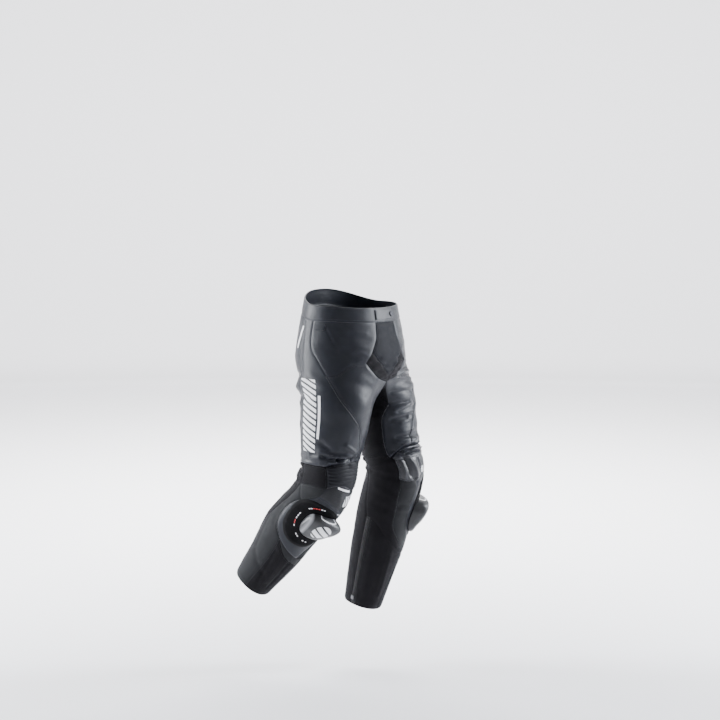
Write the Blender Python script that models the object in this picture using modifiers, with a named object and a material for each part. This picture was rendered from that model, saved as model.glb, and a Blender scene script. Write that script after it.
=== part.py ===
"""Leather motorcycle trousers in their worn shape: a hollow garment of sewn panels, one leg forward.

The cloth is a wall between two skins of one surface. That surface is a loft of pelvis sections that
turns, below the hips, into two bent legs. A place on a leg is (a, u): a is the angle round the leg in
degrees, 0 at the front, 90 at the outer side, 180 at the back and -90 at the inner side, and u is the
distance down from the waist in millimetres, as the pattern is cut. Seams are lines between named
corners, and a panel is a loop of seams. +Z is up, -Y is the front, +X is the wearer's left, and the
origin is the middle of the waist. Tables are in millimetres and degrees. The mesh is in metres.
"""
import math

import bpy
import bmesh
import numpy as np
from mathutils import Vector
from mathutils.geometry import delaunay_2d_cdt

MM = 0.001


def table(columns, *rows):
    """A small table: the names of its columns, then one row for each station."""
    return dict(zip(columns.split(), np.array(rows, float).T))


# Driving sizes
WAISTBAND = 42.0         # height of the waistband
CROTCH = 200.0           # u where the legs part
HIP_BLEND = 120.0        # u where the outer side of the pelvis starts to turn into a leg
LEG_TOP = 300.0          # u where each leg has become a ring of its own
HEM = 905.0              # u of the hem
LEATHER = 1.4            # wall of leather panels
STRETCH = 1.6            # wall of stretch panels
WAISTBAND_WALL = 2.2     # wall of the doubled waistband
SEAM_GAP = 0.3           # between neighbours, and under what lies on a panel
GUSSET_TIP = 1.6         # the crotch piece stops this far short of the seams' meeting points
GUSSET_EDGE = 0.3        # and keeps this far inside its seams, because its wall bends most there
BACK_RISE = 38.0         # the waist rises at the back
FRONT_DROP = 8.0         # and dips at the front
FRONT_EDGE = -48.0       # angle of the centre front line on the hip part of a leg
BACK_EDGE = 228.0        # angle of the centre back line
MM_PER_DEGREE = 1.45     # round a leg of ordinary girth
EDGE_STEP = 21.0         # spacing of points along a seam
FACE_STEP = 31.0         # spacing of points inside a panel
SHARP_EDGE = 50.0        # edges bent more than this are shaded sharp

PELVIS = table(
    "v half front back",
    (-60, 150, 108, 104),
    (0, 156, 112, 110),
    (45, 164, 120, 120),
    (100, 173, 130, 132),
    (150, 178, 135, 139),
    (200, 181, 132, 132),
    (250, 182, 118, 110),
    (300, 182, 104, 95),
    (360, 181, 95, 85),
)
PELVIS_SQUARENESS = 2.25
LEG_SQUARENESS = 2.15

# Half sizes of a leg's rings. The pose is in the hip point and the angles of thigh and shin. The slider
# is stuck on by hook cloth, so each leg has its own place for it.
LEGS = {
    "R": dict(
        side=-1, hip=(-100, -34, -150), thigh_back=4.5, thigh_out=1.5, shin_back=39.5, shin_out=3.0,
        knee=(425, 540), slider=(24.5, 604.0),
        rings=table(
            "v outer inner front back",
            (150, 88, 88, 100, 100),
            (250, 92, 92, 107, 110),
            (300, 90, 90, 100, 104),
            (350, 87, 87, 93, 101),
            (400, 84, 82, 83, 95),
            (440, 81, 77, 71, 89),
            (480, 78, 74, 76, 86),
            (520, 75, 74, 87, 80),
            (560, 72, 74, 90, 72),
            (620, 72, 72, 84, 76),
            (700, 69, 70, 80, 82),
            (780, 61, 66, 76, 70),
            (905, 52, 52, 60, 54),
        ),
        cut=table("u v", (0, 0), (905, 905)),
        turn=table("u a", (0, 0), (905, 0)),
    ),
    "L": dict(
        side=1, hip=(96, -24, -150), thigh_back=-9.6, thigh_out=1.6, shin_back=16.5, shin_out=1.0,
        knee=(435, 540), slider=(30.5, 633.0),
        rings=table(
            "v outer inner front back",
            (150, 88, 88, 100, 100),
            (250, 88, 90, 96, 110),
            (300, 85, 88, 87, 104),
            (350, 82, 86, 82, 101),
            (400, 81, 83, 79, 94),
            (440, 82, 80, 81, 88),
            (480, 82, 77, 86, 80),
            (520, 82, 75, 86, 78),
            (560, 82, 74, 85, 80),
            (620, 78, 72, 79, 82),
            (700, 70, 68, 80, 76),
            (780, 62, 62, 73, 68),
            (905, 52, 50, 58, 54),
        ),
        # The straighter leg pushes the panels at its knee together.
        cut=table("u v", (0, 0), (380, 380), (444, 430), (494, 455), (550, 505), (606, 575), (700, 690),
                  (905, 905)),
        turn=table("u a", (0, 0), (460, 0), (560, 16), (905, 16)),
    ),
}

# Corners of the pattern: a, u.
CORNERS = dict(
    waist_front=(FRONT_EDGE, WAISTBAND),
    waist_fly=(-27, WAISTBAND),
    waist_side_front=(97, WAISTBAND),
    waist_side_back=(122, WAISTBAND),
    waist_back=(BACK_EDGE, WAISTBAND),
    fly_corner=(-15, 129),
    fly_tip=(FRONT_EDGE, CROTCH),
    arch_outer=(72, 193),
    arch_top=(-3, 160),
    groin_low=(FRONT_EDGE, 218),
    inner_front_top=(FRONT_EDGE, LEG_TOP),
    seat_side=(123, 192),
    seat_back=(BACK_EDGE, CROTCH),
    under_side=(134, 262),
    under_back=(BACK_EDGE, 262),
    inner_back_top=(BACK_EDGE, LEG_TOP),
    knee_top_back=(124, 456),
    knee_top_outer=(65, 446),
    knee_top_front=(-12, 434),
    knee_top_inner=(-64, 480),
    knee_top_calf=(BACK_EDGE, 456),
    cup_back=(111, 532),
    cup_outer=(55, 494),
    cup_inner=(-58, 494),
    knee_low_back=(BACK_EDGE, 560),
    pad_outer=(64, 520),
    pad_back=(90, 566),
    pad_front=(-14, 538),
    band_inner=(-59, 541),
    strip_inner=(-60, 556),
    strip_front=(-13, 562),
    strip_tip=(14, 736),
    pad_low=(80, 702),
    low_front=(-6, 746),
    low_inner=(-6, 766),
    zip_top_back=(247, 648),
    zip_top_front=(255, 648),
    hem_front=(-24, HEM),
    hem_outer=(80, HEM),
    hem_back=(140, HEM),
    hem_zip_back=(246, HEM),
    hem_zip_front=(256, HEM),
)

# Seams: first corner, last corner, and the points it bends through.
SEAMS = dict(
    waist_1=("waist_front", "waist_fly", []),
    waist_2=("waist_fly", "waist_side_front", []),
    waist_3=("waist_side_front", "waist_side_back", []),
    waist_4=("waist_side_back", "waist_back", []),
    fly_side=("waist_fly", "fly_corner", [(-24, 90)]),
    fly_diagonal=("fly_corner", "fly_tip", [(-25, 151), (-36, 174)]),
    groin_top=("fly_corner", "arch_top", []),
    arch_falls=("arch_top", "groin_low", [(-14, 182), (-30, 205)]),
    arch_rises=("arch_outer", "arch_top", [(54, 188), (35, 171), (18, 161)]),
    side_hip=("waist_side_front", "arch_outer", [(98, 84), (96, 116), (86, 150)]),
    side_thigh=("arch_outer", "knee_top_front", [(62, 224), (50, 258), (30, 295), (11, 328), (-1, 372)]),
    back_hip=("waist_side_back", "seat_side", [(117, 110), (118, 150)]),
    back_under=("seat_side", "under_side", [(130, 228)]),
    back_thigh=("under_side", "knee_top_back", [(135, 330), (131, 420)]),
    seat_fold=("seat_side", "seat_back", [(160, 208), (195, 208)]),
    under_fold=("under_side", "under_back", [(165, 266), (200, 266)]),
    front_1=("fly_tip", "groin_low", []),
    front_2=("groin_low", "inner_front_top", []),
    inner_arc=("inner_front_top", "inner_back_top", []),
    rear_1=("seat_back", "under_back", []),
    rear_2=("under_back", "inner_back_top", []),
    rear_3=("inner_back_top", "knee_top_calf", []),
    rear_4=("knee_top_calf", "knee_low_back", []),
    rear_5=("knee_low_back", "zip_top_back", [(236, 606)]),
    inner_front=("inner_front_top", "knee_top_inner", [(-62, 330), (-67, 380), (-67, 430)]),
    inner_knee=("knee_top_inner", "cup_inner", []),
    inner_cup=("cup_inner", "band_inner", [(-57, 512), (-57, 529)]),
    inner_band=("band_inner", "strip_inner", []),
    inner_strip=("strip_inner", "strip_tip", [(-61, 580), (-57, 617), (-53, 655), (-30, 692)]),
    centre_back=("waist_back", "seat_back", []),
    thigh_low_1=("knee_top_back", "knee_top_outer", [(92, 449)]),
    thigh_low_2=("knee_top_outer", "knee_top_front", [(38, 438), (10, 434)]),
    thigh_low_3=("knee_top_front", "knee_top_inner", [(-32, 438), (-50, 459)]),
    thigh_low_4=("knee_top_back", "knee_top_calf", [(150, 462), (200, 462)]),
    side_knee=("knee_top_outer", "cup_outer", []),
    side_low=("cup_outer", "cup_back", [(84, 506)]),
    side_back=("knee_top_back", "cup_back", []),
    cup_top=("cup_outer", "cup_inner", [(37, 485), (15, 484), (-8, 491), (-28, 494)]),
    knee_back_low=("cup_back", "knee_low_back", [(150, 556), (190, 562)]),
    cup_side=("cup_outer", "pad_outer", []),
    cup_low_1=("pad_outer", "pad_front", [(45, 519), (20, 528)]),
    cup_low_2=("pad_front", "band_inner", [(-36, 544)]),
    band_low=("strip_front", "strip_inner", [(-36, 562)]),
    band_side=("pad_front", "strip_front", []),
    upper_low=("pad_outer", "pad_back", []),
    upper_back=("pad_back", "cup_back", []),
    pad_arc=("pad_back", "pad_low", [(103, 600), (107, 640), (98, 680)]),
    pad_inner=("strip_front", "strip_tip", [(-18, 590), (-16, 625), (-9, 660), (1, 695)]),
    pad_under=("pad_low", "strip_tip", [(48, 722)]),
    low_top=("strip_tip", "low_front", []),
    low_end=("low_front", "low_inner", []),
    low_under=("pad_low", "low_inner", [(50, 740), (20, 757)]),
    shin_front_seam=("low_inner", "hem_front", [(-18, 830)]),
    shin_side_seam=("pad_low", "hem_outer", [(76, 760), (77, 814)]),
    shin_back_seam=("cup_back", "hem_back", [(119, 586), (134, 666), (148, 748), (150, 804)]),
    diagonal=("zip_top_front", "strip_tip", [(-88, 658), (-68, 678), (-43, 700), (-14, 724)]),
    zip_top=("zip_top_back", "zip_top_front", []),
    zip_back=("zip_top_back", "hem_zip_back", []),
    zip_front=("zip_top_front", "hem_zip_front", []),
    hem_1=("hem_front", "hem_outer", []),
    hem_2=("hem_outer", "hem_back", []),
    hem_3=("hem_back", "hem_zip_back", []),
    hem_4=("hem_zip_back", "hem_zip_front", []),
    hem_5=("hem_zip_front", "hem_front", []),
)

# Panels of one leg: material, wall, and the seams round it, in order.
PANELS = dict(
    hip_front=("leather", LEATHER, "waist_2 side_hip arch_rises groin_top fly_side"),
    groin_stretch=("stretch", STRETCH, "fly_diagonal front_1 arch_falls groin_top"),
    front_thigh=("leather", LEATHER, "arch_falls front_2 inner_front thigh_low_3 side_thigh arch_rises"),
    outer_thigh=("leather", LEATHER,
                 "waist_3 back_hip back_under back_thigh thigh_low_1 thigh_low_2 side_thigh side_hip"),
    seat=("leather", LEATHER, "waist_4 centre_back seat_fold back_hip"),
    under_seat=("leather", LEATHER, "seat_fold rear_1 under_fold back_under"),
    back_thigh=("leather", LEATHER, "under_fold rear_2 rear_3 thigh_low_4 back_thigh"),
    inner_stretch=("stretch", STRETCH,
                   "inner_front inner_knee inner_cup inner_band inner_strip diagonal zip_top"
                   " rear_5 rear_4 rear_3 inner_arc"),
    knee_accordion=("ribbed", LEATHER, "side_knee cup_top inner_knee thigh_low_3 thigh_low_2"),
    knee_side=("stretch", STRETCH, "thigh_low_1 side_knee side_low side_back"),
    knee_back=("stretch", STRETCH, "thigh_low_4 rear_4 knee_back_low side_back"),
    knee_cup=("leather", LEATHER, "cup_side cup_low_1 cup_low_2 inner_cup cup_top"),
    knee_band=("grey", LEATHER, "cup_low_2 inner_band band_low band_side"),
    shin_front=("leather", LEATHER, "upper_low pad_arc pad_under pad_inner band_side cup_low_1"),
    shin_upper=("pale", LEATHER, "cup_side upper_low upper_back side_low"),
    shin_outer=("grey", LEATHER, "upper_back shin_back_seam hem_2 shin_side_seam pad_arc"),
    shin_strip=("grey", LEATHER, "band_low inner_strip pad_inner"),
    shin_lower_strip=("grey", LEATHER, "pad_under low_top low_end low_under"),
    lower_shin=("stretch", STRETCH, "low_under shin_front_seam hem_1 shin_side_seam"),
    calf_back=("stretch", STRETCH, "shin_back_seam hem_3 zip_back rear_5 knee_back_low"),
    calf_inner=("stretch", STRETCH, "diagonal low_top low_end shin_front_seam hem_5 zip_front"),
    calf_zip=("tape", LEATHER, "zip_top zip_front hem_4 zip_back"),
)
# Panels and seams that cross the inner side, where the angle wraps.
INNER_SIDE = ("inner_stretch", "calf_inner")
ACROSS_INNER = ("inner_arc", "diagonal", "hem_5")

# Large folds of the worn garment: leg, ends a and u, height of the ridge (below 0 a trough), half width.
FOLDS = table(
    "leg a_1 u_1 a_2 u_2 height width",
    (-1, 126, 215, 150, 236, 6, 20),
    (-1, 150, 236, 200, 236, 6, 20),
    (-1, 108, 258, 150, 268, -4, 8),
    (-1, 80, 414, 25, 430, 4, 14),
    (-1, 55, 443, 10, 440, -4, 8),
    (1, 126, 215, 150, 236, 6, 20),
    (1, 150, 236, 200, 236, 6, 20),
    (1, -30, 214, 10, 196, 3, 12),
    (1, -34, 262, 40, 250, 2.6, 14),
    (1, -40, 318, 50, 306, 2.4, 14),
    (1, -44, 372, 46, 358, 2.4, 14),
    (1, -40, 420, 40, 412, 3.5, 12),
    (-1, 135, 500, 215, 505, -5, 14),
    (-1, 140, 530, 210, 535, 4, 14),
    (1, 140, 500, 215, 505, -3, 14),
)

RIB_PITCH = 7.0
RIB_HEIGHT = 2.6
RIB_ROWS_TOP = dict(corner="knee_top_front", fall=0.09)

# Hook pad and knee slider: place and half sizes
PAD = dict(a=43.5, u=612.0, half_a=52.0, half_u=78.0, squareness=2.6, wall=2.6)
SLIDER = dict(half_a=38.0, half_u=43.0, squareness=3.0, stiff=0.4, lean=0.3)
SLIDER_RINGS = table(
    "size height",
    (1.0, 13),
    (0.93, 22),
    (0.78, 27),
    (0.45, 29.5),
    (0.0, 30),
)
SLIDER_FALL = table("down share", (-1, 1.15), (-0.6, 1.1), (-0.27, 1.0), (0.15, 0.82), (0.5, 0.56), (1, 0.3))
OVAL_POINTS = 20

# Small parts at the waist, hip and calf
TAB = dict(a_1=72.0, a_2=94.0, u_1=50.0, u_2=68.0, wall=1.6)
STRIP = dict(a_1=125.0, u_1=66.0, a_2=137.0, u_2=120.0, half=4.0, wall=0.8)
WAIST_TAB = dict(half_x=32.0, u_1=6.0, u_2=36.0, wall=2.0, lift=1.0)
SNAP = dict(x=13.0, radius=7.5, thick=2.4, lift=0.35)
ZIP_SLIDER = dict(u=884.0, width=9.0, length=12.0, thick=3.2, lift=0.8)
ROUNDING = 0.8           # rounded edges of metal parts

# Crotch piece: how far its middle line reaches back and down from the fly's tip, forward and down from
# the seat, and the stretch at each tip where it lies flat between the legs
GUSSET = dict(front=(34.0, 48.0), back=(44.0, 44.0), flat=25.0, blend=80.0, rows_across=7)

COLOURS = dict(
    leather=((0.045, 0.048, 0.056), 0.42, 0.0),
    ribbed=((0.05, 0.048, 0.056), 0.5, 0.0),
    stretch=((0.018, 0.016, 0.02), 0.8, 0.0),
    grey=((0.2, 0.205, 0.215), 0.6, 0.0),
    pale=((0.42, 0.43, 0.45), 0.55, 0.0),
    white=((0.8, 0.8, 0.8), 0.5, 0.0),
    hook=((0.012, 0.012, 0.014), 0.95, 0.0),
    puck=((0.06, 0.062, 0.068), 0.35, 0.0),
    tape=((0.015, 0.015, 0.016), 0.7, 0.0),
    metal=((0.6, 0.6, 0.62), 0.35, 1.0),
)


# Shape of the garment

def smooth(x):
    """0 to 1, flat at both ends."""
    x = np.clip(x, 0, 1)
    return x * x * (3 - 2 * x)


def curve(x, xs, ys):
    """Smooth curve through a table's points, with the slope of its neighbours at each."""
    slope = np.gradient(ys, xs)
    i = np.clip(np.searchsorted(xs, x) - 1, 0, len(xs) - 2)
    h = xs[i + 1] - xs[i]
    t = np.clip((x - xs[i]) / h, 0, 1)
    start = (1 + 2 * t) * (1 - t) ** 2 * ys[i] + t * (1 - t) ** 2 * h * slope[i]
    return start + t * t * (3 - 2 * t) * ys[i + 1] + t * t * (t - 1) * h * slope[i + 1]


def unit(v):
    return v / np.maximum(np.linalg.norm(v, axis=-1, keepdims=True), 1e-9)


def centreline(leg):
    """Centre points and directions of a leg for each millimetre of v."""
    v = np.arange(-80.0, HEM + 60.0)
    bend = smooth((v - leg["knee"][0]) / (leg["knee"][1] - leg["knee"][0]))
    back = np.radians(leg["thigh_back"] + (leg["shin_back"] - leg["thigh_back"]) * bend)
    out = np.radians(leg["thigh_out"] + (leg["shin_out"] - leg["thigh_out"]) * bend)
    way = np.stack([leg["side"] * np.sin(out) * np.cos(back), np.sin(back), -np.cos(back) * np.cos(out)], 1)
    way = unit(way)
    points = np.cumsum(way, 0)
    at_hip = np.searchsorted(v, -leg["hip"][2])
    return v, points - points[at_hip] + np.array(leg["hip"], float), way


for one_leg in LEGS.values():
    one_leg["line"] = centreline(one_leg)


def rounded(angle, squareness):
    """Sine and cosine of a squarish ring."""
    s, c = np.sin(np.radians(angle)), np.cos(np.radians(angle))
    power = 2 / squareness
    return np.sign(s) * np.abs(s) ** power, np.sign(c) * np.abs(c) ** power


def leg_surface(leg, a, v):
    """A point on the ring of a leg."""
    rings = leg["rings"]
    along, centres, ways = leg["line"]
    centre = np.stack([np.interp(v, along, centres[:, k]) for k in range(3)], -1)
    way = np.stack([np.interp(v, along, ways[:, k]) for k in range(3)], -1)
    outward = np.zeros_like(way)
    outward[..., 0] = leg["side"]
    outward = unit(outward - (outward * way).sum(-1, keepdims=True) * way)
    forward = np.cross(way, outward)
    forward = forward * np.where(forward[..., 1:2] > 0, -1, 1)
    s, c = rounded(a, LEG_SQUARENESS)
    side = s * np.where(s > 0, curve(v, rings["v"], rings["outer"]), curve(v, rings["v"], rings["inner"]))
    fore = c * np.where(c > 0, curve(v, rings["v"], rings["front"]), curve(v, rings["v"], rings["back"]))
    return centre + outward * side[..., None] + forward * fore[..., None]


def pelvis_surface(side, angle, v):
    """A point on the pelvis; angle is 0 at the centre front and 180 at the centre back."""
    s, c = rounded(angle, PELVIS_SQUARENESS)
    front = curve(v, PELVIS["v"], PELVIS["front"])
    back = curve(v, PELVIS["v"], PELVIS["back"])
    x = side * np.abs(s) * curve(v, PELVIS["v"], PELVIS["half"])
    y = -c * np.where(c > 0, front, back)
    tilt = 1 - smooth(v / 160.0)
    lift = np.where(y > 0, BACK_RISE * (y / back) ** 2, -FRONT_DROP * (y / front) ** 2)
    return np.stack([x, y, tilt * lift - v], -1)


def base_surface(leg, a, v):
    """The garment without folds, in millimetres."""
    share = np.clip((a - FRONT_EDGE) / (BACK_EDGE - FRONT_EDGE), 0, 1)
    start = HIP_BLEND + (CROTCH - HIP_BLEND) * (2 * share - 1) ** 2
    turn = smooth((v - start) / (LEG_TOP - start))[..., None]
    return pelvis_surface(leg["side"], 180 * share, v) * (1 - turn) + leg_surface(leg, a, v) * turn


def fold_height(leg, a, u):
    """Height of the large folds at a place on a leg."""
    total = np.zeros(np.shape(u))
    x, y = a * MM_PER_DEGREE, u
    for k in range(len(FOLDS["leg"])):
        if FOLDS["leg"][k] != leg["side"]:
            continue
        x_1, y_1 = FOLDS["a_1"][k] * MM_PER_DEGREE, FOLDS["u_1"][k]
        x_2, y_2 = FOLDS["a_2"][k] * MM_PER_DEGREE, FOLDS["u_2"][k]
        length = math.hypot(x_2 - x_1, y_2 - y_1)
        along = ((x - x_1) * (x_2 - x_1) + (y - y_1) * (y_2 - y_1)) / length
        across = ((x - x_1) * (y_2 - y_1) - (y - y_1) * (x_2 - x_1)) / length
        beyond = np.maximum(0, np.maximum(-along, along - length))
        distance = (across ** 2 + beyond ** 2) / FOLDS["width"][k] ** 2
        total = total + FOLDS["height"][k] * np.exp(-distance)
    return total


def surface(leg, a, u):
    """Points and outward normals of the garment, without folds."""
    a, u = np.asarray(a, float), np.asarray(u, float)
    v = np.interp(u, leg["cut"]["u"], leg["cut"]["v"])
    a = a + np.interp(u, leg["turn"]["u"], leg["turn"]["a"])
    step = 1.5
    around_1, around_2 = a - step, a + step
    on_hip = (v < LEG_TOP - step) | ((a > FRONT_EDGE) & (a < BACK_EDGE))
    around_1 = np.where(on_hip, np.maximum(around_1, FRONT_EDGE), around_1)
    around_2 = np.where(on_hip, np.minimum(around_2, BACK_EDGE), around_2)
    down_1 = np.where(on_hip, v - step, np.maximum(v - step, LEG_TOP))
    points = base_surface(leg, a, v)
    around = base_surface(leg, around_2, v) - base_surface(leg, around_1, v)
    down = base_surface(leg, a, v + step) - base_surface(leg, a, down_1)
    return points, unit(np.cross(down, around) * leg["side"])


# Pattern: seams and loops

def bend_line(points, step):
    """A smooth line through points given as (a, u), with a point about every step."""
    points = np.array(points, float)
    flat = points * (MM_PER_DEGREE, 1)
    run = np.concatenate([[0], np.cumsum(np.linalg.norm(np.diff(flat, axis=0), axis=1))])
    count = max(2, int(round(run[-1] / step)) + 1)
    where = np.linspace(0, run[-1], count)
    if len(points) == 2:
        return np.stack([np.interp(where, run, points[:, k]) for k in range(2)], 1)
    return np.stack([curve(where, run, points[:, k]) for k in range(2)], 1)


def seam_points(name, step=EDGE_STEP):
    """Points of a seam from its first corner to its last."""
    first, last, middle = SEAMS[name]
    points = np.array([CORNERS[first], *middle, CORNERS[last]], float)
    if name in ACROSS_INNER:
        points[:, 0] -= np.where(points[:, 0] > 180, 360, 0)
    return bend_line(points, step)


def loop_points(panel_name, step=EDGE_STEP):
    """The outline of a panel as one closed run of (a, u); its seams follow each other by shared corners."""
    names = PANELS[panel_name][2].split()
    first, last = SEAMS[names[0]][:2]
    here = first if last in SEAMS[names[1]][:2] else last
    loop = []
    for name in names:
        run = seam_points(name, step)
        forward = SEAMS[name][0] == here
        here = SEAMS[name][1] if forward else SEAMS[name][0]
        loop.extend(run[:-1] if forward else run[:0:-1])
    loop = np.array(loop)
    if panel_name in INNER_SIDE:
        loop[:, 0] -= np.where(loop[:, 0] > 180, 360, 0)
    return loop if turns_left(loop) else loop[::-1]


def turns_left(loop):
    x, y = loop[:, 0], loop[:, 1]
    return (x * np.roll(y, -1) - np.roll(x, -1) * y).sum() > 0


def oval(centre, half, squareness, count=OVAL_POINTS):
    """A squarish oval as (a, u)."""
    s, c = rounded(np.arange(count) * 360.0 / count, squareness)
    return np.stack([centre[0] + half[0] * c, centre[1] + half[1] * s], 1)


def inside(point, loop):
    """True where a point lies within a loop."""
    x, y = point
    x_1, y_1 = loop[:, 0], loop[:, 1]
    x_2, y_2 = np.roll(x_1, -1), np.roll(y_1, -1)
    crosses = (y_1 > y) != (y_2 > y)
    at = x_1 + (y - y_1) * (x_2 - x_1) / np.where(y_2 == y_1, 1, y_2 - y_1)
    return (crosses & (x < at)).sum() % 2 == 1


def clearance(point, loop):
    """Distance from a point to the nearest edge of a loop, in the flat pattern."""
    p = np.array(point)
    a, b = loop, np.roll(loop, -1, 0)
    way = b - a
    t = np.clip(((p - a) * way).sum(1) / np.maximum((way ** 2).sum(1), 1e-9), 0, 1)
    return np.linalg.norm(p - a - way * t[:, None], axis=1).min()


def grid_points(loop, step_x, step_y, margin):
    """Points inside a loop, in staggered rows."""
    low, high = loop.min(0), loop.max(0)
    found = []
    rows = int((high[1] - low[1]) / step_y) + 1
    for row in range(rows + 1):
        y = low[1] + (row + 0.5) * (high[1] - low[1]) / (rows + 1)
        columns = int((high[0] - low[0]) / step_x) + 2
        for column in range(columns + 1):
            x = low[0] + (column + 0.5 * (row % 2)) * step_x
            if inside((x, y), loop) and clearance((x, y), loop) > margin:
                found.append((x, y))
    return found


def fold_points(leg, loop):
    """Points along the crest and foot of each fold that crosses a panel."""
    found = []
    for k in range(len(FOLDS["leg"])):
        if FOLDS["leg"][k] != leg["side"]:
            continue
        end_1 = np.array([FOLDS["a_1"][k] * MM_PER_DEGREE, FOLDS["u_1"][k]])
        end_2 = np.array([FOLDS["a_2"][k] * MM_PER_DEGREE, FOLDS["u_2"][k]])
        way = unit(end_2 - end_1)
        across = np.array([-way[1], way[0]])
        for share in np.linspace(0, 1, max(3, int(np.linalg.norm(end_2 - end_1) / 18))):
            for side in (-1.3, 0, 1.3):
                p = end_1 + (end_2 - end_1) * share + across * side * FOLDS["width"][k]
                if inside(p, loop) and clearance(p, loop) > 4:
                    found.append(tuple(p))
    return found


def thin_out(points, least):
    """Drops each point that lies too near an earlier one."""
    kept = []
    for p in points:
        if all(math.hypot(p[0] - q[0], p[1] - q[1]) > least for q in kept):
            kept.append(p)
    return kept


# Meshes

def triangulate(loop, points, inner_loops=()):
    """Flat triangles of a panel. Returns points, faces and, for each inner loop, which faces lie in it."""
    coords = [Vector(p) for p in loop]
    faces = [list(range(len(loop)))]
    for inner in inner_loops:
        inner = inner if turns_left(inner) else inner[::-1]
        faces.append(list(range(len(coords), len(coords) + len(inner))))
        coords.extend(Vector(p) for p in inner)
    coords.extend(Vector(p) for p in points)
    out = delaunay_2d_cdt(coords, [], faces, 1, 1e-4)
    flat = np.array([tuple(p) for p in out[0]])
    triangles, marks = [], []
    for face, origin in zip(out[2], out[5]):
        if 0 not in origin:
            continue
        triangles.append(face)
        marks.append([k + 1 in origin for k in range(len(inner_loops))])
    triangles = np.array(triangles)
    a, b, c = flat[triangles[:, 0]], flat[triangles[:, 1]], flat[triangles[:, 2]]
    area = (b[:, 0] - a[:, 0]) * (c[:, 1] - a[:, 1]) - (b[:, 1] - a[:, 1]) * (c[:, 0] - a[:, 0])
    triangles[area < 0] = triangles[area < 0][:, ::-1]
    return flat, triangles, np.array(marks)


def border(faces):
    """The closed border of a set of faces, as directed edges."""
    edges = set()
    for face in faces:
        for k in range(3):
            edges.add((int(face[k]), int(face[(k + 1) % 3])))
    return [edge for edge in edges if (edge[1], edge[0]) not in edges]


def pull_in(points, normals, edges, amount):
    """Moves the border of a panel inwards along its surface, so that neighbours stay apart."""
    shift = np.zeros_like(points)
    after = dict(edges)
    before = {b: a for a, b in edges}
    for k in after:
        came = unit(points[k] - points[before[k]])
        goes = unit(points[after[k]] - points[k])
        inward_1 = np.cross(normals[k], came)
        inward_2 = np.cross(normals[k], goes)
        middle = unit(inward_1 + inward_2)
        shift[k] = middle * amount / max(0.45, float(np.dot(middle, inward_1)))
    return points + shift


def closed_wall(name, outer, inner, faces, material):
    """A solid between an outer and an inner skin with the same faces."""
    used = sorted({int(k) for face in faces for k in face})
    index = {k: n for n, k in enumerate(used)}
    count = len(used)
    solid = [tuple(index[int(k)] for k in face) for face in faces]
    solid += [tuple(index[int(k)] + count for k in face[::-1]) for face in faces]
    for a, b in border(faces):
        solid.append((index[b], index[a], index[a] + count))
        solid.append((index[b], index[a] + count, index[b] + count))
    points = np.concatenate([outer[used], inner[used]]) * MM
    mesh = bpy.data.meshes.new(name)
    mesh.from_pydata([tuple(p) for p in points], [], solid)
    mesh.validate()
    mesh.shade_smooth()
    mesh.set_sharp_from_angle(angle=math.radians(SHARP_EDGE))
    mesh.materials.append(material)
    piece = bpy.data.objects.new(name, mesh)
    COLLECTION.objects.link(piece)
    return piece


def rib_height(a, u):
    """Horizontal ribs of the panel above the knee; they follow its upper seam."""
    top = CORNERS[RIB_ROWS_TOP["corner"]][1] + RIB_ROWS_TOP["fall"] * np.maximum(0, a - 5)
    return RIB_HEIGHT * 0.5 * (1 - np.cos(2 * np.pi * (u - top) / RIB_PITCH))


def rib_points(loop):
    """Points on each rib's crest and foot."""
    found = []
    low, high = loop[:, 0].min() / MM_PER_DEGREE, loop[:, 0].max() / MM_PER_DEGREE
    for a in np.arange(low + 9, high - 3, 16.0):
        top = CORNERS[RIB_ROWS_TOP["corner"]][1] + RIB_ROWS_TOP["fall"] * max(0, a - 5)
        for k in range(1, 18):
            p = (a * MM_PER_DEGREE, top + k * RIB_PITCH / 2)
            if inside(p, loop) and clearance(p, loop) > 1.2:
                found.append(p)
    return found


def leg_panel(key, panel_name, overlays=()):
    """One panel of a leg, and what lies on it: name, loop, material, lift, height function, stiffness."""
    leg = LEGS[key]
    material, wall, _ = PANELS[panel_name]
    loop = loop_points(panel_name) * (MM_PER_DEGREE, 1)
    inner_loops = [overlay[1] * (MM_PER_DEGREE, 1) for overlay in overlays]
    if material == "ribbed":
        points = rib_points(loop)
    else:
        crest = fold_points(leg, loop)
        points = thin_out(crest + grid_points(loop, FACE_STEP, FACE_STEP, 0.42 * FACE_STEP), 9.0)
    for inner in inner_loops:
        points = [p for p in points if clearance(p, inner) > 6]
    if panel_name == "shin_front":
        points = [p for p in points if not inside(p, inner_loops[1])] + slider_points(leg)
    flat, faces, marks = triangulate(loop, points, inner_loops)
    a, u = flat[:, 0] / MM_PER_DEGREE, flat[:, 1]
    base, normals = surface(leg, a, u)
    base = base + normals * fold_height(leg, a, u)[:, None]
    faces = face_out(base, normals, faces)
    edges = border(faces)
    if marks.size:
        for k, overlay in enumerate(overlays):
            lay_on(overlay, base, normals, flat, faces[marks[:, k]])
    base = pull_in(base, normals, edges, SEAM_GAP / 2)
    raised = rib_height(a, u) if material == "ribbed" else np.zeros(len(a))
    on_border = {k for edge in edges for k in edge}
    raised[list(on_border)] = 0
    closed_wall(f"{panel_name}_{key}", base + normals * raised[:, None], base - normals * wall, faces,
                MATERIALS[material])


def lay_on(overlay, base, normals, flat, faces):
    """A piece that lies on a panel, made from the panel's own points. A stiff one rises one way."""
    name, _, material, lift, heights, stiff = overlay
    used = np.unique(faces)
    low = base + normals * lift
    high = low.copy()
    ways = unit(normals[used] * (1 - stiff) + unit(normals[used].mean(0)) * stiff)
    high[used] += ways * heights(flat[used])[:, None]
    closed_wall(name, high, low, faces, MATERIALS[material])


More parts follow.
